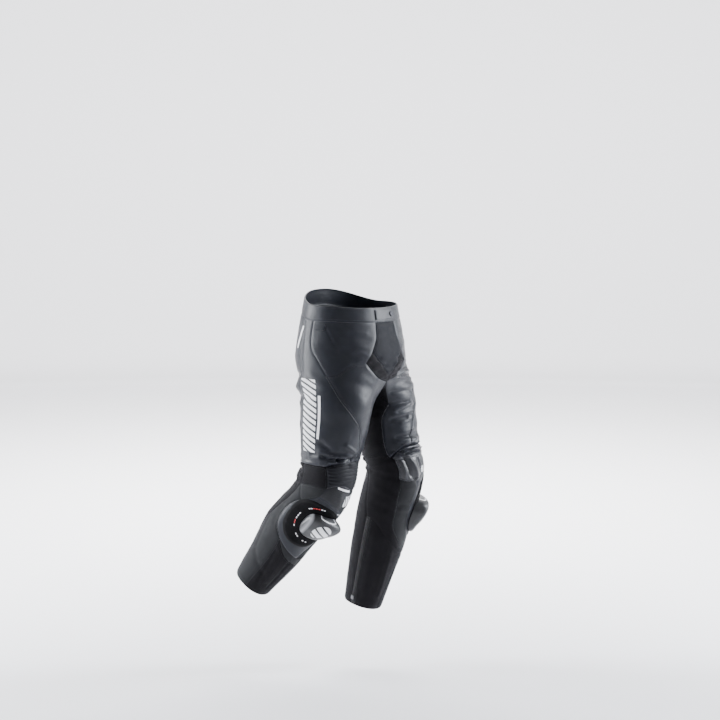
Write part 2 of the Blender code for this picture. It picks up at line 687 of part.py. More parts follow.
def both_sides(x, u):
    """Points and normals at arc x (degrees from the centre front, minus on the right) and u."""
    left, left_normals = surface(LEGS["L"], FRONT_EDGE + np.abs(x), u)
    right, right_normals = surface(LEGS["R"], FRONT_EDGE + np.abs(x), u)
    on_left = (np.asarray(x) >= 0)[:, None]
    return np.where(on_left, left, right), np.where(on_left, left_normals, right_normals)


def fly_panel():
    """Shield over the fly, from one hip front to the other."""
    right = np.concatenate([seam_points("fly_side"), seam_points("fly_diagonal")[1:]])
    right = (right - (FRONT_EDGE, 0)) * (MM_PER_DEGREE, 1)
    left = right[::-1] * (-1, 1)
    top = seam_points("waist_1")
    across = (top[1:-1] - (FRONT_EDGE, 0)) * (MM_PER_DEGREE, 1)
    middle = np.array([[0.0, WAISTBAND]])
    loop = np.concatenate([right, left[1:], across * (-1, 1), middle, across[::-1]])
    loop = np.array([p for n, p in enumerate(loop) if not np.allclose(p, loop[n - 1], atol=1e-6)])
    points = grid_points(loop, FACE_STEP * 0.7, FACE_STEP, 9)
    flat, faces, _ = triangulate(loop, points)
    base, normals = both_sides(flat[:, 0] / MM_PER_DEGREE, flat[:, 1])
    faces = face_out(base, normals, faces)
    base = pull_in(base, normals, border(faces), SEAM_GAP / 2)
    closed_wall("fly_panel", base, base - normals * LEATHER, faces, MATERIALS["leather"])


def face_out(base, normals, faces):
    """Turns the faces so that they point along the normals."""
    corner = base[faces]
    facing = (np.cross(corner[:, 1] - corner[:, 0], corner[:, 2] - corner[:, 0]) * normals[faces[:, 0]]).sum()
    return faces if facing > 0 else faces[:, ::-1]


def ring_at_waist(u):
    """Points and normals all round the waist at u, on the same angles as the waist seam."""
    run = np.concatenate([seam_points(f"waist_{k}")[:-1] for k in (1, 2, 3, 4)])
    angles = np.concatenate([run[:, 0], [BACK_EDGE]])
    left, left_normals = surface(LEGS["L"], angles, np.full(len(angles), u))
    right, right_normals = surface(LEGS["R"], angles, np.full(len(angles), u))
    points = np.concatenate([left, right[::-1][1:]])
    return points, np.concatenate([left_normals, right_normals[::-1][1:]])


def waistband():
    """The band round the waist, open at the centre front under its tab."""
    rows = [0.0, WAISTBAND / 2, WAISTBAND - SEAM_GAP]
    rings = [ring_at_waist(u) for u in rows]
    count = len(rings[0][0])
    base = np.concatenate([points for points, _ in rings])
    normals = np.concatenate([vectors for _, vectors in rings])
    faces = []
    for row in range(len(rows) - 1):
        for k in range(count - 1):
            a, b = row * count + k, row * count + k + 1
            faces += [(a, a + count, b + count), (a, b + count, b)]
    faces = face_out(base, normals, np.array(faces))
    for k in (0, count - 1):
        base[k::count] += (np.array([1, 0, 0]) if k == 0 else np.array([-1, 0, 0])) * SEAM_GAP / 2
    closed_wall("waistband", base, base - normals * WAISTBAND_WALL, faces, MATERIALS["leather"])


def waist_tab():
    """The tab that closes the waistband over the centre front, and its snap."""
    rows = np.linspace(WAIST_TAB["u_1"], WAIST_TAB["u_2"], 3)
    columns = np.linspace(-WAIST_TAB["half_x"], WAIST_TAB["half_x"], 9)
    x, u = np.meshgrid(columns / MM_PER_DEGREE * 0.9, rows)
    base, normals = both_sides(x.ravel(), u.ravel())
    faces = []
    for row in range(2):
        for k in range(8):
            a, b = row * 9 + k, row * 9 + k + 1
            faces += [(a, a + 9, b + 9), (a, b + 9, b)]
    faces = face_out(base, normals, np.array(faces))
    low = base + normals * WAIST_TAB["lift"]
    closed_wall("waist_tab", low + normals * WAIST_TAB["wall"], low, faces, MATERIALS["leather"])
    middle = (WAIST_TAB["u_1"] + WAIST_TAB["u_2"]) / 2
    place, normal = both_sides(np.array([SNAP["x"]]), np.array([middle]))
    foot = place[0] + normal[0] * (WAIST_TAB["lift"] + WAIST_TAB["wall"] + SNAP["lift"])
    centre = (foot + normal[0] * SNAP["thick"] / 2) * MM
    bpy.ops.mesh.primitive_cylinder_add(vertices=20, radius=SNAP["radius"] * MM, depth=SNAP["thick"] * MM,
                                        location=tuple(centre))
    snap = bpy.context.object
    snap.rotation_euler = Vector(normal[0]).to_track_quat("Z", "Y").to_euler()
    finish_part(snap, "waist_snap", "metal", bevel=ROUNDING)


def finish_part(piece, name, material, bevel=0.0):
    """Names a primitive, gives it its material and moves it to the garment's collection."""
    piece.name = name
    piece.data.name = name
    piece.data.materials.clear()
    piece.data.materials.append(MATERIALS[material])
    if bevel:
        edge = piece.modifiers.new("round", "BEVEL")
        edge.width = bevel * MM
        edge.segments = 2
        edge.limit_method = "ANGLE"
    for home in list(piece.users_collection):
        home.objects.unlink(piece)
    COLLECTION.objects.link(piece)


def crotch_gusset():
    """Saddle between the legs, from the fly's tip to the seat."""
    names = ("front_1", "front_2", "inner_arc", "rear_2", "rear_1")
    runs = []
    for name in names:
        run = seam_points(name)
        run = run[::-1] if name.startswith("rear") else run
        runs.append(run if name == names[0] else run[1:])
    edge = np.concatenate(runs)
    sides = []
    for key in ("R", "L"):
        points, normals = surface(LEGS[key], edge[:, 0], edge[:, 1])
        points = points + normals * fold_height(LEGS[key], edge[:, 0], edge[:, 1])[:, None]
        sides.append((points, normals))
    front, back = sides[0][0][0] * (0, 1, 1), sides[0][0][-1] * (0, 1, 1)
    run = np.concatenate([[0], np.cumsum(np.linalg.norm(np.diff(sides[0][0], axis=0), axis=1))])
    t = (run / run[-1])[:, None]
    low_1 = front + np.array([0, GUSSET["front"][0], -GUSSET["front"][1]])
    low_2 = back - np.array([0, GUSSET["back"][0], GUSSET["back"][1]])
    middle = (1 - t) ** 3 * front + 3 * t * (1 - t) ** 2 * low_1 + 3 * t * t * (1 - t) * low_2 + t ** 3 * back
    between = (sides[0][0] + sides[1][0]) / 2 * (0, 1, 1)
    from_tip = np.minimum(run, run[-1] - run)[:, None]
    middle = between + (middle - between) * smooth((from_tip - GUSSET["flat"]) / GUSSET["blend"])
    columns = []
    for share in np.linspace(-1, 1, GUSSET["rows_across"]):
        side, (points, normals) = (-1, sides[0]) if share < 0 else (1, sides[1])
        ahead = np.gradient(points, axis=0)
        leave = unit(np.cross(normals, ahead))
        leave = leave * np.sign((leave * (points - middle)).sum(1, keepdims=True) + 1e-9)
        leave[:, 2] = np.where(leave[:, 2] > 0.3, 0.3, leave[:, 2])
        reach = np.linalg.norm(points - middle, axis=1, keepdims=True)
        reach = np.minimum(reach, 1.5 * np.abs(points[:, :1]) + 0.01)
        s = abs(share)
        start = np.array([side, 0, 0]) * reach
        h = 2 * s ** 3 - 3 * s ** 2 + 1, s ** 3 - 2 * s ** 2 + s, 3 * s ** 2 - 2 * s ** 3, s ** 3 - s ** 2
        columns.append(h[0] * middle + h[1] * start * 0.6 + h[2] * points + h[3] * leave * reach * 0.6)
    grid = np.stack(columns, 1)
    rows, across = grid.shape[:2]
    inner_rows = grid[1:-1]
    centre = grid[:, across // 2]
    tip_1 = centre[0] + unit(centre[1] - centre[0]) * GUSSET_TIP
    tip_2 = centre[-1] + unit(centre[-2] - centre[-1]) * GUSSET_TIP
    base = np.concatenate([[tip_1], inner_rows.reshape(-1, 3), [tip_2]])
    faces = []
    for k in range(across - 1):
        faces.append((0, 1 + k, 2 + k))
        last = 1 + (rows - 3) * across
        faces.append((len(base) - 1, last + k + 1, last + k))
    for row in range(rows - 3):
        for k in range(across - 1):
            a = 1 + row * across + k
            faces += [(a, a + across, a + across + 1), (a, a + across + 1, a + 1)]
    faces = np.array(faces)
    normals = point_normals(base, faces)
    if normals[len(base) // 2][2] > 0:
        faces = faces[:, ::-1]
        normals = -normals
    for n, key_normals in ((0, sides[0][1]), (across - 1, sides[1][1])):
        for row in range(rows - 2):
            normals[1 + row * across + n] = key_normals[row + 1]
    edges = border(faces)
    base = pull_in(base, normals, edges, GUSSET_EDGE)
    closed_wall("crotch_gusset", base, base - normals * STRETCH, faces, MATERIALS["stretch"])


def point_normals(points, faces):
    """Mean normal of the faces at each point."""
    normals = np.zeros_like(points)
    corner = points[faces]
    each = np.cross(corner[:, 1] - corner[:, 0], corner[:, 2] - corner[:, 0])
    for k in range(3):
        np.add.at(normals, faces[:, k], each)
    return unit(normals)


def knee_overlays(key):
    """Hook pad on the shin base, and the slider on the pad: a rounded puck, stiff, with a bevelled rim."""
    leg = LEGS[key]
    pad = oval((PAD["a"], PAD["u"]), (PAD["half_a"], PAD["half_u"]), PAD["squareness"])
    slider = oval(leg["slider"], (SLIDER["half_a"], SLIDER["half_u"]), SLIDER["squareness"])
    over_pad = 2 * SEAM_GAP + PAD["wall"]
    return [(f"hook_pad_{key}", pad, "hook", SEAM_GAP, flat_piece(PAD["wall"]), 0.0),
            (f"slider_{key}", slider, "puck", over_pad, slider_heights(leg), SLIDER["stiff"])]


def slider_heights(leg):
    """How high the slider stands over the pad: its rim, then its crown, lower towards its lower end."""
    middle_a, middle_u = leg["slider"]

    def heights(flat):
        along = (flat[:, 0] / MM_PER_DEGREE - middle_a) / SLIDER["half_a"]
        down = (flat[:, 1] - middle_u) / SLIDER["half_u"]
        power = SLIDER["squareness"]
        size = (np.abs(along) ** power + np.abs(down) ** power) ** (1 / power)
        height = np.interp(size, SLIDER_RINGS["size"][::-1], SLIDER_RINGS["height"][::-1])
        lean = 1 - SLIDER["lean"] * along
        return height * lean * np.interp(down, SLIDER_FALL["down"], SLIDER_FALL["share"])

    return heights


def slider_points(leg):
    """Points of the slider's rings inside its rim."""
    found = [(leg["slider"][0] * MM_PER_DEGREE, leg["slider"][1])]
    for size in SLIDER_RINGS["size"][1:-1]:
        half = (SLIDER["half_a"] * size, SLIDER["half_u"] * size)
        count = max(8, int(OVAL_POINTS * min(1.0, size + 0.1)))
        ring = oval(leg["slider"], half, SLIDER["squareness"], count)
        found.extend(tuple(p) for p in ring * (MM_PER_DEGREE, 1))
    return found


def make_outward(piece):
    """Turns the faces of a closed mesh to point outwards."""
    work = bmesh.new()
    work.from_mesh(piece.data)
    bmesh.ops.recalc_face_normals(work, faces=work.faces)
    if work.calc_volume(signed=True) < 0:
        bmesh.ops.reverse_faces(work, faces=work.faces)
    work.to_mesh(piece.data)
    work.free()


def zip_slider(key):
    """Slider of the calf zip, at the closed end near the hem."""
    middle = (CORNERS["hem_zip_back"][0] + CORNERS["hem_zip_front"][0]) / 2
    place, normal = surface(LEGS[key], np.array([middle]), np.array([ZIP_SLIDER["u"]]))
    below, _ = surface(LEGS[key], np.array([middle]), np.array([ZIP_SLIDER["u"] + 5]))
    out, down = Vector(normal[0]), Vector(unit(below[0] - place[0]))
    across = down.cross(out).normalized()
    down = out.cross(across).normalized()
    centre = place[0] + normal[0] * (ZIP_SLIDER["lift"] + ZIP_SLIDER["thick"] / 2)
    bpy.ops.mesh.primitive_cube_add(size=1, location=tuple(centre * MM))
    piece = bpy.context.object
    size = (ZIP_SLIDER["width"] * MM, ZIP_SLIDER["length"] * MM, ZIP_SLIDER["thick"] * MM)
    for vertex in piece.data.vertices:
        vertex.co = (across * vertex.co.x * size[0] + down * vertex.co.y * size[1]
                     + out * vertex.co.z * size[2])
    finish_part(piece, f"zip_slider_{key}", "metal", bevel=ROUNDING)
    make_outward(piece)


def make_material(name):
    colour, roughness, metallic = COLOURS[name]
    material = bpy.data.materials.new(name)
    material.use_nodes = True
    shader = material.node_tree.nodes["Principled BSDF"]
    shader.inputs["Base Color"].default_value = (*colour, 1)
    shader.inputs["Roughness"].default_value = roughness
    shader.inputs["Metallic"].default_value = metallic
    return material


def flat_piece(amount):
    return lambda flat: np.full(len(flat), amount)


def overlays_on(key, panel_name):
    """What lies on a panel of a leg."""
    if panel_name == "shin_front":
        return knee_overlays(key)
    if panel_name == "seat":
        ends = np.array([(STRIP["a_1"], STRIP["u_1"]), (STRIP["a_2"], STRIP["u_2"])])
        across = np.array([STRIP["half"] / MM_PER_DEGREE, 0])
        middle = ends.mean(0)
        loop = np.array([ends[0] - across, middle - across, ends[1] - across, ends[1] + (0, STRIP["half"]),
                         ends[1] + across, middle + across, ends[0] + across, ends[0] - (0, STRIP["half"])])
        return [(f"hip_strip_{key}", loop, "white", SEAM_GAP, flat_piece(STRIP["wall"]), 0.0)]
    if panel_name == "hip_front":
        a_1, a_2, u_1, u_2 = TAB["a_1"], TAB["a_2"], TAB["u_1"], TAB["u_2"]
        loop = np.array([(a_1, (u_1 + u_2) / 2), (a_1 + 3, u_1 + 2), (a_1 + 8, u_1), (a_2, u_1), (a_2, u_2),
                         (a_1 + 8, u_2), (a_1 + 3, u_2 - 2)])
        return [(f"hip_tab_{key}", loop, "leather", SEAM_GAP, flat_piece(TAB["wall"]), 0.0)]
    return []


for old in list(bpy.data.objects):
    bpy.data.objects.remove(old, do_unlink=True)
COLLECTION = bpy.data.collections.new("motorcycle_trousers")
bpy.context.scene.collection.children.link(COLLECTION)
MATERIALS = {name: make_material(name) for name in COLOURS}

for leg_key in LEGS:
    for panel_key in PANELS:
        leg_panel(leg_key, panel_key, overlays_on(leg_key, panel_key))
    zip_slider(leg_key)
fly_panel()
waistband()
waist_tab()
crotch_gusset()
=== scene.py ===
"""Looks of the leather motorcycle trousers: fine panels, folds, stitches, piping, prints and light.

The shape is the one of the solids, on a finer mesh: a place on a leg is (a, u), the angle round it in
degrees and the distance down from the waist in millimetres. Tables are in millimetres and degrees.
"""
import math

import bpy
import numpy as np
from mathutils import Matrix, Vector
from mathutils.geometry import delaunay_2d_cdt


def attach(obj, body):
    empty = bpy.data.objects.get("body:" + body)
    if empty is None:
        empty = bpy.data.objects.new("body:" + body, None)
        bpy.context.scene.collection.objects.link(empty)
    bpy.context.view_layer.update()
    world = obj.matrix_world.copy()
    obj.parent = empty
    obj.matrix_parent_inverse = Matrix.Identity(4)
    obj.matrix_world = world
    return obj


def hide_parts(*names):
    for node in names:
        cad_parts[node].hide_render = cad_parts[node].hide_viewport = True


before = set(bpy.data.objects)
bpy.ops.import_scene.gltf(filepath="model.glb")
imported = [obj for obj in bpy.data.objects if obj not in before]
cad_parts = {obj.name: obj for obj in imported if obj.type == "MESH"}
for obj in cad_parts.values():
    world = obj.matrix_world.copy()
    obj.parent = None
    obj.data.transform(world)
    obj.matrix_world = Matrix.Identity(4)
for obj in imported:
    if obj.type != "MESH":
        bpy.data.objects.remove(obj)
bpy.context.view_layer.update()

MM = 0.001


def table(columns, *rows):
    """A small table: the names of its columns, then one row for each station."""
    return dict(zip(columns.split(), np.array(rows, float).T))


def rows_of(text):
    """The rows of a table written as lines of words, without its remarks."""
    return [line.split() for line in text.strip().splitlines() if not line.startswith("#")]


# Driving sizes, as in the solids
WAISTBAND = 42.0
WAISTBAND_WALL = 2.2
FLY_MIDDLE = 100.0
CROTCH = 200.0
HIP_BLEND = 120.0
LEG_TOP = 300.0
HEM = 905.0
LEATHER = 1.4
STRETCH = 1.6
BACK_RISE = 38.0
FRONT_DROP = 8.0
FRONT_EDGE = -48.0
BACK_EDGE = 228.0
MM_PER_DEGREE = 1.45

PELVIS = table(
    "v half front back",
    (-60, 150, 108, 104),
    (0, 156, 112, 110),
    (45, 164, 120, 120),
    (100, 173, 130, 132),
    (150, 178, 135, 139),
    (200, 181, 132, 132),
    (250, 182, 118, 110),
    (300, 182, 104, 95),
    (360, 181, 95, 85),
)
PELVIS_SQUARENESS = 2.25
LEG_SQUARENESS = 2.15

LEGS = {
    "R": dict(
        side=-1, hip=(-100, -34, -150), thigh_back=4.5, thigh_out=1.5, shin_back=39.5, shin_out=3.0,
        knee=(425, 540), slider=(24.5, 604.0),
        rings=table(
            "v outer inner front back",
            (150, 88, 88, 100, 100),
            (250, 92, 92, 107, 110),
            (300, 90, 90, 100, 104),
            (350, 87, 87, 93, 101),
            (400, 84, 82, 83, 95),
            (440, 81, 77, 71, 89),
            (480, 78, 74, 76, 86),
            (520, 75, 74, 87, 80),
            (560, 72, 74, 90, 72),
            (620, 72, 72, 84, 76),
            (700, 69, 70, 80, 82),
            (780, 61, 66, 76, 70),
            (905, 52, 52, 60, 54),
        ),
        cut=table("u v", (0, 0), (905, 905)),
        turn=table("u a", (0, 0), (905, 0)),
    ),
    "L": dict(
        side=1, hip=(96, -24, -150), thigh_back=-9.6, thigh_out=1.6, shin_back=16.5, shin_out=1.0,
        knee=(435, 540), slider=(30.5, 633.0),
        rings=table(
            "v outer inner front back",
            (150, 88, 88, 100, 100),
            (250, 88, 90, 96, 110),
            (300, 85, 88, 87, 104),
            (350, 82, 86, 82, 101),
            (400, 81, 83, 79, 94),
            (440, 82, 80, 81, 88),
            (480, 82, 77, 86, 80),
            (520, 82, 75, 86, 78),
            (560, 82, 74, 85, 80),
            (620, 78, 72, 79, 82),
            (700, 70, 68, 80, 76),
            (780, 62, 62, 73, 68),
            (905, 52, 50, 58, 54),
        ),
        cut=table("u v", (0, 0), (380, 380), (444, 430), (494, 455), (550, 505), (606, 575), (700, 690),
                  (905, 905)),
        turn=table("u a", (0, 0), (460, 0), (560, 16), (905, 16)),
    ),
}

CORNERS = dict(
    waist_front=(FRONT_EDGE, WAISTBAND),
    waist_fly=(-27, WAISTBAND),
    waist_side_front=(97, WAISTBAND),
    waist_side_back=(122, WAISTBAND),
    waist_back=(BACK_EDGE, WAISTBAND),
    fly_corner=(-15, 129),
    fly_tip=(FRONT_EDGE, CROTCH),
    arch_outer=(72, 193),
    arch_top=(-3, 160),
    groin_low=(FRONT_EDGE, 218),
    inner_front_top=(FRONT_EDGE, LEG_TOP),
    seat_side=(123, 192),
    seat_back=(BACK_EDGE, CROTCH),
    under_side=(134, 262),
    under_back=(BACK_EDGE, 262),
    inner_back_top=(BACK_EDGE, LEG_TOP),
    knee_top_back=(124, 456),
    knee_top_outer=(65, 446),
    knee_top_front=(-12, 434),
    knee_top_inner=(-64, 480),
    knee_top_calf=(BACK_EDGE, 456),
    cup_back=(111, 532),
    cup_outer=(55, 494),
    cup_inner=(-58, 494),
    knee_low_back=(BACK_EDGE, 560),
    pad_outer=(64, 520),
    pad_back=(90, 566),
    pad_front=(-14, 538),
    band_inner=(-59, 541),
    strip_inner=(-60, 556),
    strip_front=(-13, 562),
    strip_tip=(14, 736),
    pad_low=(80, 702),
    low_front=(-6, 746),
    low_inner=(-6, 766),
    zip_top_back=(247, 648),
    zip_top_front=(255, 648),
    hem_front=(-24, HEM),
    hem_outer=(80, HEM),
    hem_back=(140, HEM),
    hem_zip_back=(246, HEM),
    hem_zip_front=(256, HEM),
)

# A seam: its name, its corners, and the places (a,u) between them
SEAMS = {name: (first, last, [tuple(map(float, place.split(","))) for place in middle])
         for name, first, last, *middle in rows_of("""
waist_1 waist_front waist_fly
waist_2 waist_fly waist_side_front
waist_3 waist_side_front waist_side_back
waist_4 waist_side_back waist_back
fly_side waist_fly fly_corner -24,90
fly_diagonal fly_corner fly_tip -25,151 -36,174
groin_top fly_corner arch_top
arch_falls arch_top groin_low -14,182 -30,205
arch_rises arch_outer arch_top 54,188 35,171 18,161
side_hip waist_side_front arch_outer 98,84 96,116 86,150
side_thigh arch_outer knee_top_front 62,224 50,258 30,295 11,328 -1,372
back_hip waist_side_back seat_side 117,110 118,150
back_under seat_side under_side 130,228
back_thigh under_side knee_top_back 135,330 131,420
seat_fold seat_side seat_back 160,208 195,208
under_fold under_side under_back 165,266 200,266
front_1 fly_tip groin_low
front_2 groin_low inner_front_top
inner_arc inner_front_top inner_back_top
rear_1 seat_back under_back
rear_2 under_back inner_back_top
rear_3 inner_back_top knee_top_calf
rear_4 knee_top_calf knee_low_back
rear_5 knee_low_back zip_top_back 236,606
inner_front inner_front_top knee_top_inner -62,330 -67,380 -67,430
inner_knee knee_top_inner cup_inner
inner_cup cup_inner band_inner -57,512 -57,529
inner_band band_inner strip_inner
inner_strip strip_inner strip_tip -61,580 -57,617 -53,655 -30,692
centre_back waist_back seat_back
thigh_low_1 knee_top_back knee_top_outer 92,449
thigh_low_2 knee_top_outer knee_top_front 38,438 10,434
thigh_low_3 knee_top_front knee_top_inner -32,438 -50,459
thigh_low_4 knee_top_back knee_top_calf 150,462 200,462
side_knee knee_top_outer cup_outer
side_low cup_outer cup_back 84,506
side_back knee_top_back cup_back
cup_top cup_outer cup_inner 37,485 15,484 -8,491 -28,494
knee_back_low cup_back knee_low_back 150,556 190,562
cup_side cup_outer pad_outer
cup_low_1 pad_outer pad_front 45,519 20,528
cup_low_2 pad_front band_inner -36,544
band_low strip_front strip_inner -36,562
band_side pad_front strip_front
upper_low pad_outer pad_back
upper_back pad_back cup_back
pad_arc pad_back pad_low 103,600 107,640 98,680
pad_inner strip_front strip_tip -18,590 -16,625 -9,660 1,695
pad_under pad_low strip_tip 48,722
low_top strip_tip low_front
low_end low_front low_inner
low_under pad_low low_inner 50,740 20,757
shin_front_seam low_inner hem_front -18,830
shin_side_seam pad_low hem_outer 76,760 77,814
shin_back_seam cup_back hem_back 119,586 134,666 148,748 150,804
diagonal zip_top_front strip_tip -88,658 -68,678 -43,700 -14,724
zip_top zip_top_back zip_top_front
zip_back zip_top_back hem_zip_back
zip_front zip_top_front hem_zip_front
hem_1 hem_front hem_outer
hem_2 hem_outer hem_back
hem_3 hem_back hem_zip_back
hem_4 hem_zip_back hem_zip_front
hem_5 hem_zip_front hem_front
""")}

# A panel of one leg: its name, cloth and look, and the seams round it, in order
PANELS = {name: (cloth, look, seams) for name, cloth, look, *seams in rows_of("""
hip_front leather leather waist_2 side_hip arch_rises groin_top fly_side
groin_stretch stretch stretch fly_diagonal front_1 arch_falls groin_top
front_thigh leather leather arch_falls front_2 inner_front thigh_low_3 side_thigh arch_rises
outer_thigh leather thigh_print waist_3 back_hip back_under back_thigh thigh_low_1 thigh_low_2 \
    side_thigh side_hip
seat leather leather waist_4 centre_back seat_fold back_hip
under_seat leather leather seat_fold rear_1 under_fold back_under
back_thigh leather leather under_fold rear_2 rear_3 thigh_low_4 back_thigh
inner_stretch stretch stretch inner_front inner_knee inner_cup inner_band inner_strip diagonal \
    zip_top rear_5 rear_4 rear_3 inner_arc
knee_accordion ribbed rib side_knee cup_top inner_knee thigh_low_3 thigh_low_2
knee_side stretch stretch thigh_low_1 side_knee side_low side_back
knee_back stretch stretch thigh_low_4 rear_4 knee_back_low side_back
knee_cup leather cup_print cup_side cup_low_1 cup_low_2 inner_cup cup_top
knee_band leather grey cup_low_2 inner_band band_low band_side
shin_front leather leather upper_low pad_arc pad_under pad_inner band_side cup_low_1
shin_upper leather pale cup_side upper_low upper_back side_low
shin_outer leather grey upper_back shin_back_seam hem_2 shin_side_seam pad_arc
shin_strip leather grey band_low inner_strip pad_inner
shin_lower_strip leather grey pad_under low_top low_end low_under
lower_shin stretch stretch low_under shin_front_seam hem_1 shin_side_seam
calf_back stretch stretch shin_back_seam hem_3 zip_back rear_5 knee_back_low
calf_inner stretch stretch diagonal low_top low_end shin_front_seam hem_5 zip_front
calf_zip tape tape zip_top zip_front hem_4 zip_back
""")}
# The left knee's gathers and cap take lighter, glossier copies of the knee leathers; their lighter colour is
# painted light on a knee the lamps leave dark
LEFT_LOOKS = dict(knee_accordion="soft_knee", knee_cup="soft_cap")
INNER_SIDE = ("inner_stretch", "calf_inner")
ACROSS_INNER = ("inner_arc", "diagonal", "hem_5")
# The slot of each look
SLOTS = {look: slot for slot, *looks in rows_of("""
leather_black leather rib piping thigh_print cup_print soft_knee soft_cap fly
stretch_black stretch thread
leather_grey grey
leather_pale pale
zip_tape tape
zip_metal metal snap
hook_black hook
puck_plastic puck
print_white white red
""") for look in looks}

# Large folds, as in the solids: leg, ends, height of the ridge (below 0 a trough), half width.
FOLDS = table("leg a_1 u_1 a_2 u_2 height width", *rows_of("""
-1 126 215 150 236 6 20
-1 150 236 200 236 6 20
-1 108 258 150 268 -4 8
-1 80 414 25 430 4 14
-1 55 443 10 440 -4 8
1 126 215 150 236 6 20
1 150 236 200 236 6 20
1 -30 214 10 196 3 12
1 -34 262 40 250 2.6 14
1 -40 318 50 306 2.4 14
1 -44 372 46 358 2.4 14
1 -40 420 40 412 3.5 12
-1 135 500 215 505 -5 14
-1 140 530 210 535 4 14
1 140 500 215 505 -3 14
"""))

# Smaller creases, only here. Leg 0 is both legs.
CREASES = table("leg a_1 u_1 a_2 u_2 height width", *rows_of("""
# right thigh above the knee: the overhang and its creases
-1 76 421 42 427 -8 4.5
-1 42 427 6 425 -11 4.5
-1 6 428 -20 428 -8 4.5
-1 38 415 12 415 3.6 4.5
-1 31 384 2 407 5 5.5
-1 80 380 58 407 -2.4 7
-1 58 407 30 408 -2 5
-1 100 419 66 415 -3 5
-1 94 380 62 398 -1.4 6
-1 110 436 84 440 -1.6 5
-1 20 360 -30 380 -1.4 8
-1 -10 404 -50 414 -2 6
-1 -20 424 -60 428 1.8 6
# hip: soft seam line and level pulls
0 72 62 60 92 -1.6 2.6
0 60 92 48 118 -1.4 5
0 66 66 54 96 0.8 7
0 50 66 -6 74 0.9 6
0 54 84 -10 92 -0.8 6
0 50 104 -8 116 0.9 7
0 66 130 -6 138 -0.8 7
-1 -10 140 20 124 1.2 6
# right hip and thigh, shallow
-1 60 120 20 150 -1.2 10
-1 40 70 6 110 1 12
-1 88 190 60 230 -1.2 12
-1 30 205 -10 226 -0.9 10
-1 10 196 -26 222 0.7 9
-1 50 215 6 262 0.6 15
-1 116 205 92 226 -1.8 9
-1 124 196 150 206 -2.6 6
-1 100 300 70 330 -0.9 14
-1 110 350 80 372 0.9 12
# under the seat
0 140 198 205 207 -2.6 6
0 140 252 200 258 -2.2 6
0 150 222 196 224 -1.6 5
0 165 246 215 246 -1.5 5
0 150 285 200 292 1.6 9
0 160 306 215 312 -1.4 8
0 145 345 190 352 1 11
0 150 400 205 392 -1.4 9
0 140 432 200 436 1.6 8
# left groin and thigh: wrinkles across the leg
1 30 176 -40 204 -5.5 4.5
1 -46 190 -10 160 2.4 8
1 -12 196 30 205 3 5
1 -26 206 26 216 -4.5 4.5
1 -24 212 30 231 3.4 5
1 -40 240 30 250 1.6 9
1 -40 262 18 266 -3.6 5.5
1 -48 296 -2 300 -5.5 6
1 -38 315 4 304 3.6 5
1 -30 322 20 312 -3.4 5
1 -42 331 10 326 2.4 7
1 -46 342 -12 341 -4.6 6
1 -46 362 -34 388 -1.6 10
1 -26 356 16 342 2.2 6
1 -34 386 20 376 2.2 7
1 -40 398 16 402 -3.2 5
1 -36 412 10 412 1.8 6
1 -32 429 6 418 3.6 4.5
1 -8 435 18 430 -4 4.5
1 -52 446 -36 462 -2.4 6
1 60 330 100 350 -1 12
1 70 250 110 236 -1.2 12
1 30 200 70 182 1.2 12
# gathers over the left knee, and the lobes of its cup
1 -34 442 10 438 4 4.5
1 -38 454 -6 448 -5 4.5
1 -12 460 26 455 5.5 5
1 -30 472 10 466 -4.6 4.5
1 -36 484 20 480 2.4 5
1 -49 484 -46 530 3.2 5
1 -38 486 -33 530 -6 4.5
1 -29 478 -23 504 3.6 5
1 -19 510 -14 538 5.5 7
1 -30 534 -12 548 -4 5
1 -4 498 0 526 -4 4.5
1 16 500 18 530 3 8
1 -50 549 0 552 -2 4.5
1 -50 600 -18 597 -2.6 5
1 -46 610 -20 606 1.6 6
-1 -20 500 -16 536 -2.4 5
-1 20 500 10 534 2 10
# wedges beside the fly
0 -42 176 -26 186 -2.6 4.2
0 -36 164 -18 172 2.2 4.2
0 -30 150 -14 158 -2.6 4.2
0 -44 196 -30 204 2.4 4.2
# hip of the left side and fly
1 -20 150 10 120 -1.2 9
1 -44 196 -20 168 -1.4 5
0 -44 186 -14 150 1.2 5
0 -40 200 -8 170 -1.2 4
# inner side
1 -70 330 -120 316 2 10
1 -72 372 -124 362 -1.6 9
1 -70 420 -120 412 1.6 9
1 -72 462 -128 470 -2.4 8
1 -60 500 -120 505 2.2 9
1 -56 540 -118 532 -2.2 8
1 -54 585 -110 570 1.8 9
1 -50 620 -100 612 -1.6 9
-1 -70 340 -120 330 2 10
-1 -66 420 -124 430 -2.2 9
-1 -62 470 -128 490 2.4 9
-1 -58 520 -124 540 -2.6 9
-1 -52 580 -110 600 1.6 10
# hollow of the knee
-1 128 470 215 476 2.6 6
-1 126 486 215 490 -3 5
-1 122 512 215 520 3 6
-1 122 545 215 550 -2.6 5
1 135 476 215 480 1.8 6
1 130 522 215 528 2.2 7
1 130 545 215 548 -2 6
# lower shins: upright folds of the stretch cloth
-1 70 745 60 860 -2 6
-1 48 742 40 850 1.8 7
-1 26 760 22 870 -2.2 6
-1 4 765 4 880 1.8 7
-1 -14 780 -12 880 -1.8 6
-1 110 800 60 835 -1.6 9
1 60 745 50 860 -1.8 7
1 30 752 28 860 1.8 7
1 6 760 6 870 -2 6
1 -40 720 -34 860 1.6 8
1 -60 700 -56 850 -1.8 8
1 -86 690 -84 860 1.6 9
1 -100 700 -100 850 -1.4 7
-1 -50 720 -44 860 1.6 9
-1 -80 700 -76 860 -1.6 9
# outer shin: long soft dents
-1 118 600 108 680 -1.6 10
-1 130 690 118 780 -1.4 9
1 116 600 112 700 -1.4 10
0 160 620 156 740 1.4 12
0 190 600 196 720 -1.2 12
"""))

